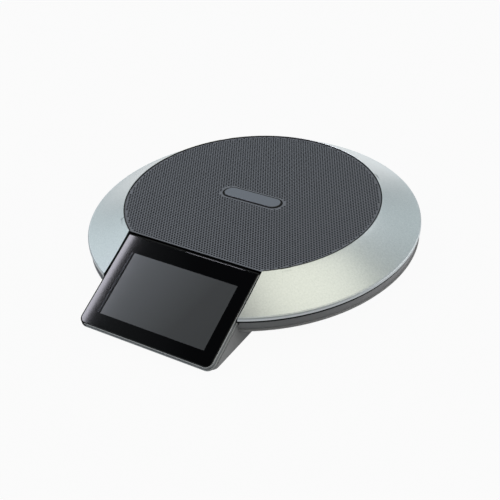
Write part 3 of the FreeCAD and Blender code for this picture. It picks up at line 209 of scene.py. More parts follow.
sweep.links.new(mixed.outputs[0], sweep.nodes["Material Output"].inputs["Surface"])
floor.data.materials.append(paper)


# %% Panels
def panel(name, width, length, place, radiance, tint):
    """A soft box that faces down its own Z axis and shines with the given brightness."""
    lamp = bpy.data.lights.new(name, "AREA")
    lamp.shape = "RECTANGLE"
    lamp.size = width
    lamp.size_y = length
    lamp.energy = radiance * math.pi * width * length
    lamp.color = colour(tint)[:3]
    made = bpy.data.objects.new(name, lamp)
    made.matrix_world = place
    scene.collection.objects.link(made)
    print(name, "of", width, "by", length, "m gives", round(lamp.energy, 1), "W")


strip_front = Vector((-0.911, -0.406, 1.2))
strip_back = Vector((-0.851, -0.229, 1.2))
strip_way = (strip_back - strip_front).normalized()
strip_across = Vector((-strip_way.y, strip_way.x, 0))
strip_width = 0.14
strip_length = 1.4
strip_shift = 0.15
strip_radiance = 10.2
strip_middle = strip_back + strip_way * strip_shift + strip_across * strip_width / 2
strip_turn = Matrix.Rotation(math.atan2(-strip_way.x, strip_way.y), 4, "Z")
panel("left_strip", strip_width, strip_length, Matrix.Translation(strip_middle) @ strip_turn, strip_radiance,
      "f4f2ff")
top_width = 1.05
top_length = 1.5
top_radiance = 1.35
panel("top_panel", top_width, top_length, Matrix.Translation((0.575, 0, 1.3)), top_radiance, "fffdec")
low_panels = {
    "side_panel": {"spot": Vector((1.28, 1.08, 0.33)), "width": 0.8, "radiance": 4.6},
    "back_panel": {"spot": Vector((-0.44, 1.64, 0.15)), "width": 0.4, "radiance": 1.2},
}
for panel_name, given in low_panels.items():
    aim = (-given["spot"]).to_track_quat("-Z", "Y").to_matrix().to_4x4()
    panel(panel_name, given["width"], given["width"], Matrix.Translation(given["spot"]) @ aim,
          given["radiance"], "ffffff")


# %% [markdown]
# ## Finishes
# Most finishes on the phone are one colour that wanders a little, with a fine grain: moulded plastic, rubber,
# cast or rolled metal. They differ in colour, grain, gloss and relief, so one function makes them all.
# Patterns read Object coordinates, so that they stay on the piece wherever it is seen from.

# %% Grained finishes
grain_detail = 3.0


def grained(name, pale, dark, grain, roughness, spread, relief, **shader_values):
    """A finish whose colour, gloss and height follow one noise, with the grain and relief in millimetres."""
    made = bpy.data.materials.new(name)
    made.use_nodes = True
    tree = made.node_tree
    shader = tree.nodes["Principled BSDF"]
    for socket, given in shader_values.items():
        shader.inputs[socket.replace("_", " ")].default_value = given
    place = add(tree, "ShaderNodeTexCoord", {}).outputs["Object"]
    noise = add(tree, "ShaderNodeTexNoise", {"Vector": place, "Scale": 1 / (grain * mm),
                                             "Detail": grain_detail})
    tone = add(tree, "ShaderNodeMix", {0: noise.outputs["Fac"], 6: colour(dark), 7: colour(pale)},
               data_type="RGBA")
    gloss = add(tree, "ShaderNodeMapRange", {"Value": noise.outputs["Fac"], "To Min": roughness - spread,
                                             "To Max": roughness + spread})
    bump = add(tree, "ShaderNodeBump", {"Height": noise.outputs["Fac"], "Distance": relief * mm})
    tree.links.new(tone.outputs[2], shader.inputs["Base Color"])
    tree.links.new(gloss.outputs[0], shader.inputs["Roughness"])
    tree.links.new(bump.outputs[0], shader.inputs["Normal"])
    return made


finishes = {
    # Moulded with a fine spark texture, mid grey and nearly without gloss
    "shell_plastic": grained("textured_abs", "a8a7a9", "99989b", 0.8, 0.5, 0.06, 0.02,
                             Specular_IOR_Level=0.15),
    # Bead blasted and clear anodised: a silver that is soft all over, with a fine mottled sparkle.
    # The real blasting is about 0.1 mm, and is drawn at 1.3 mm so that it shows
    "ring_aluminium": grained("bead_blasted_aluminium", "e4e8e9", "c0c6c8", 1.3, 0.36, 0.07, 0.03,
                              Metallic=1.0),
    # Steel sheet under a dark powder coat, satin, with the coat's slight orange peel
    "grille_metal": grained("powder_coated_steel", "6d6f77", "5f6169", 1.5, 0.5, 0.06, 0.01),
    # Thin black acoustic cloth, dull and deep
    "grille_fabric": grained("acoustic_cloth", "17181c", "0c0d10", 0.8, 0.9, 0.05, 0.05),
    # Satin grey aluminium, slightly brushed
    "badge_metal": grained("satin_badge_aluminium", "7b7e86", "6c6f77", 0.7, 0.42, 0.05, 0.01, Metallic=0.7),
    # Unpainted black polycarbonate inside
    "deck_plastic": grained("black_polycarbonate", "1c1c1e", "121214", 1.2, 0.5, 0.06, 0.02),
    # Grey frame moulding with a silky surface
    "bezel_plastic": grained("silky_grey_abs", "7c7e82", "6f7175", 0.6, 0.3, 0.04, 0.008),
    # Black print under a polished face
    "cover_glass": grained("black_printed_glass", "070708", "050506", 20.0, 0.045, 0.005, 0.0, IOR=1.55),
    # This black also paints the shade in the gaps, the slit, the badge's recess and on the frame
    "gasket_foam": grained("closed_cell_foam_and_painted_shade", "1a1a1a", "0c0c0c", 0.5, 0.95, 0.03, 0.1),
    "lcd_module": grained("polarised_panel", "4c5052", "45494b", 0.6, 0.3, 0.03, 0.0),
    "plate_steel": grained("zinc_plated_steel", "a8abad", "93979a", 2.0, 0.35, 0.08, 0.01, Metallic=1.0),
    "board_laminate": grained("green_solder_mask", "1f5a3a", "17492e", 1.5, 0.35, 0.05, 0.02),
    "chip_plastic": grained("moulded_epoxy", "202122", "161718", 0.5, 0.55, 0.05, 0.01),
    "screw_steel": grained("nickel_plated_steel", "b9b8b2", "a3a29d", 0.8, 0.28, 0.06, 0.01, Metallic=1.0),
    "flex_film": grained("amber_polyimide", "a8692a", "8f5620", 2.5, 0.3, 0.05, 0.005),
    "basket_steel": grained("black_painted_steel", "232426", "191a1c", 1.0, 0.4, 0.06, 0.01),
    "magnet_ferrite": grained("ferrite", "3c3d3f", "2c2d2f", 0.9, 0.55, 0.08, 0.03),
    "cone_paper": grained("pressed_paper", "2a2723", "1d1b18", 0.9, 0.85, 0.05, 0.06),
    "coil_copper": grained("enamelled_copper", "b8693c", "9a5430", 0.4, 0.3, 0.05, 0.03, Metallic=1.0),
    "surround_rubber": grained("butyl_rubber", "1d1d1e", "141415", 0.7, 0.6, 0.05, 0.01),
    "spider_cloth": grained("resin_cotton", "b59a5a", "9c8349", 0.6, 0.85, 0.05, 0.08),
    "capacitor_aluminium": grained("drawn_aluminium", "b8babc", "a4a7a9", 1.2, 0.3, 0.06, 0.01, Metallic=1.0),
    "connector_plastic": grained("ivory_nylon", "d8d3c4", "c9c3b2", 0.7, 0.45, 0.05, 0.01),
    "key_plastic": grained("black_acetal", "1e1f21", "151618", 0.5, 0.35, 0.05, 0.01),
    # Painted to vanish in the ring beside it
    "port_plastic": grained("silver_painted_abs", "e4e8e9", "c0c6c8", 1.3, 0.36, 0.07, 0.03, Metallic=1.0),
    "boot_rubber": grained("silicone_rubber", "2b2b2c", "202021", 0.6, 0.65, 0.05, 0.02),
    "foot_rubber": grained("soft_foot_rubber", "242425", "191919", 0.8, 0.75, 0.05, 0.04),
}
for subpart in frame["record"]["subparts"]:
    for holder in frame["nodes"][subpart["node"]].material_slots:
        holder.material = finishes[subpart["material_slot"]]


# %% [markdown]
# ## Making a piece
# A finished bmesh becomes an object at the origin with its place in its mesh, as the CAD nodes are.
# It rides on the phone's body, takes the finish of its slot and stands for its CAD node.
# A piece that bends between two bodies rides on neither.
# Edges that turn by more than 12.5 degrees stay crisp, and the rest are shaded smooth.
# The angle is that small so that the flat of the glass doesn't bend towards its rounded rim.

# %% Piece functions
crisp_angle = math.radians(12.5)


def shaded(made):
    """Smooth shading, broken where the surface turns a corner."""
    made.data.shade_smooth()
    made.data.set_sharp_from_angle(angle=crisp_angle)


def piece(name, mesh, slot, *nodes, body="phone"):
    """An object from a finished bmesh, standing for the CAD nodes that it replaces."""
    bmesh.ops.remove_doubles(mesh, verts=mesh.verts, dist=weld)
    bmesh.ops.recalc_face_normals(mesh, faces=mesh.faces)
    made = bpy.data.objects.new(name, bpy.data.meshes.new(name))
    mesh.to_mesh(made.data)
    mesh.free()
    scene.collection.objects.link(made)
    made.data.materials.append(finishes[slot])
    shaded(made)
    if body:
        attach(made, body)
    if nodes:
        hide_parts(*nodes)
    print(name, "has", sum(len(face.vertices) - 2 for face in made.data.polygons), "triangles")
    return made


def carved(made, cutting):
    """Takes the solids of a bmesh out of a piece, and keeps the result as the piece's mesh."""
    tool = bpy.data.objects.new("tool", bpy.data.meshes.new("tool"))
    cutting.to_mesh(tool.data)
    cutting.free()
    scene.collection.objects.link(tool)
    change = made.modifiers.new("carve", "BOOLEAN")
    change.object = tool
    change.operation = "DIFFERENCE"
    made.data = bpy.data.meshes.new_from_object(made.evaluated_get(bpy.context.evaluated_depsgraph_get()))
    made.modifiers.remove(change)
    bpy.data.objects.remove(tool)
    shaded(made)


def block(mesh, size, place):
    """A box of the given size, moved to its place by a matrix."""
    bmesh.ops.create_cube(mesh, size=1.0, matrix=place @ Matrix.Diagonal((*size, 1.0)))


def corners_of(parts):
    """The vertices among a mixed list of mesh parts."""
    return [part for part in parts if isinstance(part, bmesh.types.BMVert)]


def whole(mesh):
    """Every vertex, edge and face of a mesh."""
    return mesh.verts[:] + mesh.edges[:] + mesh.faces[:]


def outline(mesh, points):
    """A closed chain of new vertices and edges through the given points."""
    corners = [mesh.verts.new(point) for point in points]
    sides = [mesh.edges.new(pair) for pair in zip(corners, corners[1:] + corners[:1])]
    return corners + sides


def capped(mesh):
    """Closes every open end of a mesh."""
    bmesh.ops.holes_fill(mesh, edges=[edge for edge in mesh.edges if edge.is_boundary], sides=0)


# %% [markdown]
# ## Ring
# The silver ring is one pressing: its top dips slightly between the grille and the lip, and the lip turns
# down over a dark gap. It could be a bevelled cone, but the hollow is what gives it its long soft highlights,
# so its whole section is drawn as a short chain of points and spun round the disc's axis.

# %% Ring section
ring_inner = 103.0 * mm
ring_top = ring_high.z
lip_low = ring_low.z
lip_high = lip_low + 1.2 * mm
lip_round = 1.5 * mm
lip_step = 0.3 * mm
inner_round = 0.35 * mm
inner_ease = 0.4
hollow_depth = 0.9 * mm
hollow_steps = 14
wall = 1.6 * mm
ledge_inner = ring_inner - 6.0 * mm
ledge_high = ring_top - 1.8 * mm
ledge_low = ledge_high - 2.0 * mm
ledge_root = ring_inner + 1.5 * mm
hollow_run = disc_radius - lip_round - ring_inner
hollow_fall = ring_top - lip_high - lip_round
ring_section = []
for step in range(1, hollow_steps + 1):
    run_share = step / hollow_steps
    dip = 4 * run_share * (1 - run_share) * hollow_depth
    ring_section.append((ring_inner + run_share * hollow_run, ring_top - run_share * hollow_fall - dip))
for angle in range(72, -1, -12):
    ring_section.append((disc_radius - lip_round + lip_round * math.cos(math.radians(angle)),
                         lip_high + lip_round * math.sin(math.radians(angle))))
ring_section += [
    (disc_radius, lip_low),
    (disc_radius - wall, lip_low),
    (disc_radius - wall, lip_high - lip_step),
    (ledge_root, ledge_low),
    (ledge_inner, ledge_low),
    (ledge_inner, ledge_high),
    (ring_inner, ledge_high),
    (ring_inner, ring_top - inner_round),
    (ring_inner + inner_round, ring_top - inner_round * inner_ease),
]

# %% Ring
ring_steps = 240
break_half = bezel_high.x + 0.15 * mm


def broken_ring(section):
    """A section spun round the disc's axis, with the break for the display at the front."""
    mesh = bmesh.new()
    chain = outline(mesh, [(radius, 0, height) for radius, height in section])
    bmesh.ops.spin(mesh, geom=chain, cent=(0, 0, 0), axis=(0, 0, 1), angle=math.tau, steps=ring_steps,
                   use_merge=True)
    for side in (-1, 1):
        front = [part for kind in (mesh.verts, mesh.edges) for part in kind
                 if all(v.co.y < 0 for v in getattr(part, "verts", [part]))]
        front += [face for face in mesh.faces if face.calc_center_median().y < 0]
        bmesh.ops.bisect_plane(mesh, geom=front, dist=cut_weld, plane_co=(side * break_half, 0, 0),
                               plane_no=(1, 0, 0))
    gone = [face for face in mesh.faces
            if face.calc_center_median().y < 0 and abs(face.calc_center_median().x) < break_half]
    bmesh.ops.delete(mesh, geom=gone, context="FACES")
    capped(mesh)
    bmesh.ops.translate(mesh, verts=mesh.verts, vec=disc_axis)
    return mesh


ring = piece("ring", broken_ring(ring_section), "ring_aluminium", "ring_cover")

# %% [markdown]
# ## Rim and painted shade
# Under the lip the base shows as a grey band. In the photograph its lower edge turns inwards below the
# solid's rim, so that turn is drawn as a ring of its own under the rim.
# The gap between the lip and the rim is closed by a black sheet, which lies on the rim, laps over its edge
# and turns up against the wall behind. It is painted shade, and is what makes the shadowed gap a thin dark
# line.
# A second black strip fills the slit between the grille and the ring, and paints the shade there as the fine
# dark line.

# %% Rim turn
rim_high = lip_low - 1.7 * mm
rim_low = rim_high - 7.4 * mm
rim_radius = disc_radius - 1.0 * mm
turn_radius = rim_radius - 0.02 * mm
turn_reach = 2.0 * mm
turn_fall = 2.3 * mm
turn_lap = 0.5 * mm
turn_section = [
    (rim_radius - 2 * turn_reach, rim_low - turn_fall),
    (rim_radius - turn_reach, rim_low - turn_fall),
    (turn_radius, rim_low),
    (turn_radius, rim_low + turn_lap),
    (rim_radius - 2 * turn_reach, rim_low + turn_lap),
]
piece("rim_turn", broken_ring(turn_section), "shell_plastic")

# %% Painted shade strips
# Black sheets that paint the shade in the gap under the lip and in the slit beside the grille
wall_radius = disc_radius - 2.6 * mm
gap_shade_thickness = 0.25 * mm
gap_shade_edge = rim_radius + 0.15 * mm
gap_shade_low = rim_high - 0.25 * mm
gap_shade_high = lip_low + 0.3 * mm
gap_shade_section = [
    (wall_radius, rim_high),
    (rim_radius, rim_high),
    (rim_radius, gap_shade_low),
    (gap_shade_edge, gap_shade_low),
    (gap_shade_edge, rim_high + gap_shade_thickness),
    (wall_radius + gap_shade_thickness, rim_high + gap_shade_thickness),
    (wall_radius + gap_shade_thickness, gap_shade_high),
    (wall_radius, gap_shade_high),
]
piece("gap_painted_shade", broken_ring(gap_shade_section), "gasket_foam")
slit_inner = grille_high.x - 0.15 * mm
slit_outer = ring_inner - 0.03 * mm
slit_high = ring_top - 0.15 * mm
slit_section = [
    (slit_inner, ledge_high),
    (slit_outer, ledge_high),
    (slit_outer, slit_high),
    (slit_inner, slit_high),
]
piece("slit_painted_shade", broken_ring(slit_section), "gasket_foam")

# %% [markdown]
# Four notches in the ring's inner edge take the microphone inserts. They are cut with plain blocks turned
# about the axis, just large enough for the inserts, so that they lie flush and only a faint mark shows.

# %% Notches
port_angles = (45, 135, 225, 315)
notch_width = 7.62 * mm
notch_depth = 3.12 * mm
notch_height = 12.0 * mm
notch_lap = 0.2 * mm
notch_reach = ring_inner - notch_lap + notch_depth / 2
notch_cutting = bmesh.new()
for angle in port_angles:
    notch_place = (Matrix.Translation(disc_axis) @ Matrix.Rotation(math.radians(angle), 4, "Z")
                   @ Matrix.Translation((notch_reach, 0, ring_top)))
    block(notch_cutting, (notch_depth, notch_width, notch_height), notch_place)
carved(ring, notch_cutting)
print("ring cut at four notches")

# %% [markdown]
# The lip has a darker and rougher copy of the ring's finish, so that it shows greyer than the ring's top; the
# darker colour is painted shade.

# %% Lip finish
finishes["lip_aluminium"] = grained("lip_aluminium_painted_shade", "c4c9cc", "b4b9bc", 1.3, 0.58, 0.05, 0.02,
                                    Metallic=1.0)
ring.data.materials.append(finishes["lip_aluminium"])
lip_shade_index = 1
for facet in ring.data.polygons:
    if (facet.center - disc_axis).xy.length > disc_radius - lip_round / 2:
        facet.material_index = lip_shade_index

# %% [markdown]
# ## Grille
# The grille is a steel sheet with thousands of punched holes in a triangular pattern. A picture of holes
# would look flat from the side, so the holes are real. A grid is sheared until its points form that pattern,
# each point inside the edge is bevelled into a hexagon, and the hexagons are taken out.
# The real holes are about 1.5 mm apart. They are drawn 2.3 mm apart so that their rows show at this
# picture's size.

# %% Grille outline
hole_pitch = 2.3 * mm
hole_reach = 0.4 * hole_pitch
hole_margin = 0.8 * hole_pitch
row_step = hole_pitch * math.sqrt(3) / 2
sheet_radius = grille_high.x
sheet_front = grille_low.y - disc_axis.y
sheet_thickness = 0.35 * mm
badge_gap = 1.2 * mm
badge_half = badge_high.x + badge_gap
badge_round = (badge_high.y - badge_low.y) / 2 + badge_gap


def sheet_edges(spot):
    """How far a spot is inside each of the sheet's three edges, and the way out to that edge."""
    core = Vector((max(-badge_half + badge_round, min(badge_half - badge_round, spot.x)), 0, 0))
    yield sheet_radius - spot.length, spot.normalized()
    yield spot.y - sheet_front, Vector((0, -1, 0))
    yield (spot - core).length - badge_round, (core - spot).normalized()


# %% Grille grid
slant_room = 1.6
columns = 2 * math.ceil(sheet_radius * slant_room / hole_pitch)
rows = 2 * math.ceil(sheet_radius / row_step) + 2
sheet = bmesh.new()
bmesh.ops.create_grid(sheet, x_segments=columns, y_segments=rows, size=unit_half)
slant = Matrix.Identity(4)
slant[0][0] = columns * hole_pitch
slant[0][1] = rows * hole_pitch / 2
slant[1][1] = rows * row_step
bmesh.ops.transform(sheet, matrix=slant, verts=sheet.verts)
front_shift = sheet_front - round(sheet_front / row_step) * row_step
bmesh.ops.translate(sheet, verts=sheet.verts, vec=(0, front_shift, 0))
bmesh.ops.triangulate(sheet, faces=sheet.faces, quad_method="SHORT_EDGE")

# %% Grille holes
outside = [v for v in sheet.verts if any(gap < -hole_pitch / 2 for gap, way in sheet_edges(v.co))]
bmesh.ops.delete(sheet, geom=outside, context="VERTS")
punched = [v for v in sheet.verts if all(gap > hole_margin for gap, way in sheet_edges(v.co))]
for v in sheet.verts:
    for gap, way in sheet_edges(v.co):
        if gap < hole_pitch / 2:
            v.co += way * gap
print(len(punched), "holes")
holes = bmesh.ops.bevel(sheet, geom=punched, affect="VERTICES", offset=hole_reach, offset_type="OFFSET",
                        segments=1, profile=round_profile, material=-1, clamp_overlap=False)
bmesh.ops.delete(sheet, geom=holes["faces"], context="FACES")
bmesh.ops.recalc_face_normals(sheet, faces=sheet.faces)
bmesh.ops.solidify(sheet, geom=sheet.faces, thickness=sheet_thickness)
sheet_high = max(v.co.z for v in sheet.verts)
bmesh.ops.translate(sheet, verts=sheet.verts, vec=disc_axis + Vector((0, 0, grille_high.z - sheet_high)))
piece("grille", sheet, "grille_metal", "grille_plate")


# %% [markdown]
# ## Badge
# At the middle of the grille a small plate with round ends lies in a recess. It is left bare.
# One square face is stretched to the plate's outline, its corners are rounded until the ends are half
# circles, and its rim is softened, because a sharp rim would show no highlight.
# A thin black plate lies under it and shows as the dark line all round, painted shade in the recess.

# %% Rounded plates
corner_steps = 10
soft_steps = 3


def rounded_plate(width, length, front_corner, back_corner, low, high):
    """A plate centred on X and Y, from low to high, with one corner radius in front and one at the back."""
    mesh = bmesh.new()
    bmesh.ops.create_grid(mesh, x_segments=1, y_segments=1, size=unit_half)
    bmesh.ops.scale(mesh, vec=(width, length, 1), verts=mesh.verts)
    for way, corner in ((-1, front_corner), (1, back_corner)):
        bmesh.ops.bevel(mesh, geom=[v for v in mesh.verts if v.co.y * way > 0], affect="VERTICES",
                        offset=corner, segments=corner_steps, profile=round_profile, material=-1)
    bmesh.ops.remove_doubles(mesh, verts=mesh.verts, dist=weld)
    bmesh.ops.translate(mesh, verts=mesh.verts, vec=(0, 0, low))
    grown = bmesh.ops.extrude_face_region(mesh, geom=mesh.faces[:], use_keep_orig=True)
    bmesh.ops.translate(mesh, verts=corners_of(grown["geom"]), vec=(0, 0, high - low))
    bmesh.ops.recalc_face_normals(mesh, faces=mesh.faces)
    return mesh


def rims_at(mesh, height):
    """The edges round the flat faces at one height."""
    return [edge for edge in mesh.edges if all(abs(v.co.z - height) < weld for v in edge.verts)]


def softened(mesh, edges, reach, steps=soft_steps):
    """Rounds off the given edges."""
    bmesh.ops.bevel(mesh, geom=edges, affect="EDGES", offset=reach, segments=steps, profile=round_profile,
                    material=-1)


# %% Badge
end_trim = 0.8 * mm
end_flat = 0.01 * mm
badge_length = badge_high.x - badge_low.x - 2 * end_trim
badge_width = badge_high.y - badge_low.y
badge_end = badge_width / 2 - end_flat
badge_soft = 0.35 * mm
plate = rounded_plate(badge_length, badge_width, badge_end, badge_end, badge_low.z, badge_high.z)
softened(plate, rims_at(plate, badge_high.z), badge_soft)
bmesh.ops.translate(plate, verts=plate.verts, vec=disc_axis)
piece("badge", plate, "badge_metal", "badge_plate")
# A black plate under the badge paints the shade of its recess
badge_shade_reach = 1.0 * mm
badge_shade_end = badge_end + badge_shade_reach
badge_shade_low = grille_high.z - 0.3 * mm
badge_shade_high = grille_high.z + 0.05 * mm
seat = rounded_plate(badge_length + 2 * badge_shade_reach, badge_width + 2 * badge_shade_reach, badge_shade_end, badge_shade_end,
                     badge_shade_low, badge_shade_high)
bmesh.ops.translate(seat, verts=seat.verts, vec=disc_axis)
piece("badge_seat", seat, "gasket_foam")

# %% [markdown]
# ## Microphone slots
# Each insert has a slot for the sound, closed by a fine silver mesh, so that it shows only as a faint mark.
# One small plate with round ends is leaned to the ring's slope, and then repeated at the other three places.

# %% Microphone meshes
slot_width = 0.78 * mm
slot_length = 5.56 * mm
slot_depth = 0.4 * mm
slot_end = slot_width / 2 - end_flat
slot_place = Vector((ring_inner + 1.86 * mm, 0, ring_top - 1.68 * mm))
slot_lean = math.radians(35.8)
slots = rounded_plate(slot_width, slot_length, slot_end, slot_end, -slot_depth, 0)
first_turn = Matrix.Rotation(math.radians(port_angles[0]), 4, "Z")
leaned = first_turn @ Matrix.Translation(slot_place) @ Matrix.Rotation(slot_lean, 4, "Y")
bmesh.ops.transform(slots, matrix=leaned, verts=slots.verts)
first_plate = whole(slots)
for angle in port_angles[1:]:
    copied = bmesh.ops.duplicate(slots, geom=first_plate)["geom"]
    further = Matrix.Rotation(math.radians(angle - port_angles[0]), 3, "Z")
    bmesh.ops.rotate(slots, verts=corners_of(copied), cent=(0, 0, 0), matrix=further)
bmesh.ops.translate(slots, verts=slots.verts, vec=disc_axis)
piece("port_meshes", slots, "port_plastic")

# %% [markdown]
# ## Display frame
# The display is a slab that leans back on the wedge. Its pieces are modelled lying flat, with the top edge on
# the X axis and the face upwards, and one matrix then tilts them onto the wedge.
# The tilt follows from the slab's length and the heights of its top and its nose.
# In the photograph the face stands a millimetre higher than the solid's at the top and two at the nose, which
# is why the side of the frame shows. So the slab is drawn that much higher, and a little narrower.

# %% Display place
display_length = 81.0 * mm
side_trim = 0.25 * mm
display_width = bezel_high.x - bezel_low.x - 2 * side_trim
bezel_thickness = 3.9 * mm
bezel_border = 1.35 * mm
bezel_corner = 6.5 * mm
bezel_top_corner = 2.0 * mm
tilt = (math.asin((bezel_high.z - bezel_low.z) / math.hypot(display_length, bezel_thickness))
        - math.atan(bezel_thickness / display_length))
top_edge = Vector((0, bezel_high.y - bezel_thickness * math.sin(tilt), bezel_high.z))
slab_rise = 1.0 * mm
nose_rise = 2.3 * mm
slab_tilt = tilt - math.asin((nose_rise - slab_rise) / display_length)
slab_top = top_edge + Vector((0, -math.sin(tilt), math.cos(tilt))) * slab_rise
on_wedge = Matrix.Translation(slab_top) @ Matrix.Rotation(slab_tilt, 4, "X")
face_middle = Vector((0, -display_length / 2, 0))
print("display leans", round(math.degrees(slab_tilt), 2), "degrees")

# %% [markdown]
# The frame is a tray with round front corners. A parting step runs round its sides, and the two rims that
# face upwards catch the light as thin pale lines. Those rims are only a few tenths of a millimetre wide, so
# they are real faces with a paler and smoother finish of their own: a painted highlight on the lit side.
# Round the glass, along the grille, on the left and beside the ring the frame is painted black as painted
# shade.

# %% Bezel shape
parting_depth = -3.2 * mm
parting_step = 0.7 * mm
rim_reach = 0.3 * mm
rim_steps = 2
glass_bed = -1.5 * mm
under_round = 0.7 * mm
bezel_low_face = -bezel_thickness - slab_rise


def top_face(mesh):
    """The face that lies highest."""
    return max(mesh.faces, key=lambda face: face.calc_center_median().z)


def stepped(mesh, inset, rise):
    """Draws the top face in by an inset and then moves it up or down, with walls behind it."""
    face = top_face(mesh)
    bmesh.ops.inset_region(mesh, faces=[face], thickness=inset)
    moved = bmesh.ops.extrude_face_region(mesh, geom=[face])["geom"]
    bmesh.ops.translate(mesh, verts=corners_of(moved), vec=(0, 0, rise))
    bmesh.ops.delete(mesh, geom=[face], context="FACES_ONLY")


tray = rounded_plate(display_width, display_length, bezel_corner, bezel_top_corner, bezel_low_face,
                     parting_depth)
softened(tray, rims_at(tray, bezel_low_face), under_round)
stepped(tray, parting_step, -parting_depth)
bmesh.ops.recalc_face_normals(tray, faces=tray.faces)
softened(tray, rims_at(tray, 0), rim_reach, rim_steps)
stepped(tray, bezel_border - parting_step - rim_reach, glass_bed)
bmesh.ops.translate(tray, verts=tray.verts, vec=face_middle)

# %% Bezel finish
finishes["bezel_rim"] = grained("painted_highlight_rim", "d0d2d4", "c2c4c6", 0.6, 0.22, 0.04, 0.0)
lip_along = -40.6 * mm
level_reach = 0.01 * mm
nearly_flat = 0.99
nearly_upright = 0.1
# Index 1 paints a highlight on the upward rims and the ledge, and index 2 paints shade in black
painted_highlight_index = 1
painted_shade_index = 2
bmesh.ops.bisect_plane(tray, geom=whole(tray), dist=cut_weld, plane_co=(0, lip_along, 0), plane_no=(0, 1, 0))
bmesh.ops.recalc_face_normals(tray, faces=tray.faces)
for facet in tray.faces:
    spot = facet.calc_center_median()
    on_rim = spot.z > -rim_reach and nearly_upright < facet.normal.z < nearly_flat
    on_ledge = abs(spot.z - parting_depth) < level_reach
    at_grille = spot.y > -bezel_top_corner
    at_glass = spot.z > -level_reach
    at_left = spot.x < bezel_corner - display_width / 2
    in_slot = spot.y > lip_along and spot.z < -rim_reach
    if at_grille or at_left or at_glass or in_slot:
        facet.material_index = painted_shade_index
    elif on_rim or on_ledge:
        facet.material_index = painted_highlight_index
bmesh.ops.transform(tray, matrix=on_wedge, verts=tray.verts)
bezel = piece("bezel", tray, "bezel_plastic", "display_bezel")
bezel.data.materials.append(finishes["bezel_rim"])
bezel.data.materials.append(finishes["gasket_foam"])

# %% [markdown]
# ## Display glass
# The cover glass is clear, but what shows is the black print on its back and the panel behind its window.
# Both are dull under one glossy skin, so the glass is modelled as a solid plate whose areas have their own
# finish. That looks like a clear plate over a dark one, without the noise of light that passes through.
# The panel is switched off. Its grey runs from pale at the upper left to dark at the lower right,
# painted light that falls off away from the bright side of the room.

# %% Panel finish
fade_reach = 0.06
panel_roughness = 0.5
skin_roughness = 0.08


def painted_falloff_finish(name, pale, dark, across):
    """A painted light falloff: a grey that falls evenly across the panel from its upper left to its lower
    right.
    """
    made = bpy.data.materials.new(name)
    made.use_nodes = True
    tree = made.node_tree
    shader = tree.nodes["Principled BSDF"]
    shader.inputs["Roughness"].default_value = panel_roughness
    shader.inputs["Coat Weight"].default_value = 1.0
    shader.inputs["Coat Roughness"].default_value = skin_roughness
    place = add(tree, "ShaderNodeTexCoord", {}).outputs["Object"]
    along = add(tree, "ShaderNodeVectorMath", {0: place, 1: across}, operation="DOT_PRODUCT")
    fade = add(tree, "ShaderNodeMapRange", {"Value": along.outputs["Value"], "From Min": -fade_reach,
                                            "From Max": fade_reach})
    tone = add(tree, "ShaderNodeMix", {0: fade.outputs[0], 6: colour(pale), 7: colour(dark)},
               data_type="RGBA")
    tree.links.new(tone.outputs[2], shader.inputs["Base Color"])
    return made


finishes["panel_window"] = painted_falloff_finish("panel_painted_falloff", "70747a", "2a2d2d", (0.85, -0.35, 0))
# The strip left of the window is the panel's frame edge, drawn paler and only on the lit side as a painted
# highlight
finishes["panel_frame"] = grained("panel_frame_painted_highlight", "30333a", "292c32", 2.0, 0.06, 0.01, 0.0)

# %% Glass
glass_gap = 0.1 * mm
glass_low = -1.2 * mm
glass_soft = 0.3 * mm
glass_width = display_width - 2 * (bezel_border + glass_gap)
glass_length = display_length - 2 * (bezel_border + glass_gap)
window_left = -45.0 * mm
window_right = 47.5 * mm
window_top = -15.1 * mm
window_low = -68.6 * mm
frame_near = window_left - 1.7 * mm
frame_far = window_left - 2.8 * mm
window_index = 1
frame_highlight_index = 2
cover = rounded_plate(glass_width, glass_length, bezel_corner - bezel_border, bezel_top_corner - bezel_border,
                      glass_low, 0)
softened(cover, rims_at(cover, 0), glass_soft)
bmesh.ops.translate(cover, verts=cover.verts, vec=face_middle)
cuts = [((across, 0, 0), (1, 0, 0)) for across in (window_left, window_right, frame_near, frame_far)]
cuts += [((0, along, 0), (0, 1, 0)) for along in (window_top, window_low)]
for cut_point, cut_way in cuts:
    bmesh.ops.bisect_plane(cover, geom=whole(cover), dist=cut_weld, plane_co=cut_point, plane_no=cut_way)
for facet in cover.faces:
    spot = facet.calc_center_median()
    if facet.normal.z > nearly_flat and window_low < spot.y < window_top:
        if window_left < spot.x < window_right:
            facet.material_index = window_index
        elif frame_far < spot.x < frame_near:
            facet.material_index = frame_highlight_index
bmesh.ops.transform(cover, matrix=on_wedge, verts=cover.verts)
glass = piece("glass", cover, "cover_glass", "touch_glass")
glass.data.materials.append(finishes["panel_window"])
glass.data.materials.append(finishes["panel_frame"])

# %% [markdown]
# ## Loudspeaker suspension
# The surround and the spider hold the cone: their inner edges move with it, and their outer edges stay.
# A bend between two bodies runs along one straight line, so each of the two rings is made in sectors.

# %% Suspension function
sector_count = 12
sector_steps = 6
sector_angle = math.tau / sector_count


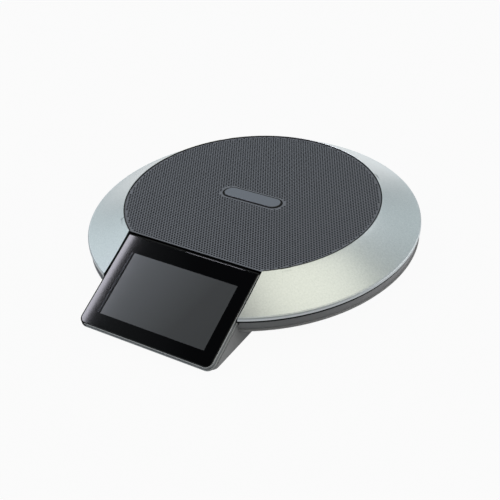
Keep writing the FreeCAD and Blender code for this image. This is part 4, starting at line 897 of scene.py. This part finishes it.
def suspension(name, section, slot, node):
    """A spun section in sectors, each a piece on no body."""
    for number in range(sector_count):
        start_turn = Matrix.Rotation((number - 0.5) * sector_angle, 4, "Z")
        mesh = bmesh.new()
        chain = outline(mesh, [start_turn @ Vector((radius, 0, height)) for radius, height in section])
        bmesh.ops.spin(mesh, geom=chain, cent=(0, 0, 0), axis=(0, 0, 1), angle=sector_angle,
                       steps=sector_steps)
        capped(mesh)
        bmesh.ops.translate(mesh, verts=mesh.verts, vec=disc_axis)
        sector = piece(f"{name}_{number + 1}", mesh, slot, node, body=None)
        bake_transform(sector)


# %% [markdown]
# The spider is a disc of stiffened cloth with round corrugations between the coil and its landing.

# %% Spider
cloth_thickness = 0.3 * mm
coil_radius = 12.7 * mm
collar_radius = 14.6 * mm
landing_radius = spider_high.x - 6.0 * mm
wave_count = 3
wave_height = 0.35 * mm
wave_steps = 24
cloth_line = [(coil_radius, spider_low.z)]
for step in range(wave_steps + 1):
    cloth_share = step / wave_steps
    wave = wave_height * math.sin(cloth_share * wave_count * math.tau)
    cloth_line.append((collar_radius + cloth_share * (landing_radius - collar_radius), spider_low.z + wave))
cloth_line.append((spider_high.x, spider_low.z))
cloth_top = [(radius, height + cloth_thickness) for radius, height in reversed(cloth_line)]
suspension("spider", cloth_line + cloth_top, "spider_cloth", "speaker_spider")

# %% [markdown]
# The surround is a half roll of rubber between the cone's rim and the basket.

# %% Surround
rubber_wall = 0.6 * mm
lap_radius = surround_high.x - 9.8 * mm
roll_inner = surround_high.x - 7.8 * mm
roll_outer = surround_high.x - 1.6 * mm
flange_top = surround_low.z + 0.4 * mm
roll_steps = 16
roll_height = 2.2 * mm


def roll_line(inner, outer, lift):
    """The lap on the cone, the half roll and the flat on the flange, raised by the given lift."""
    line = [(lap_radius, surround_low.z + lift)]
    for step in range(roll_steps + 1):
        across = step / roll_steps
        rise = roll_height * math.sin(across * math.pi) + across * (flange_top - surround_low.z)
        reach = (inner + outer) / 2 - math.cos(across * math.pi) * (outer - inner) / 2
        line.append((reach, surround_low.z + lift + rise))
    return line + [(surround_high.x, flange_top + lift)]


rubber_under = roll_line(roll_inner, roll_outer, 0)
rubber_top = roll_line(roll_inner - rubber_wall, roll_outer + rubber_wall, rubber_wall)
rubber_section = rubber_under + rubber_top[::-1]
suspension("surround", rubber_section, "surround_rubber", "speaker_surround")
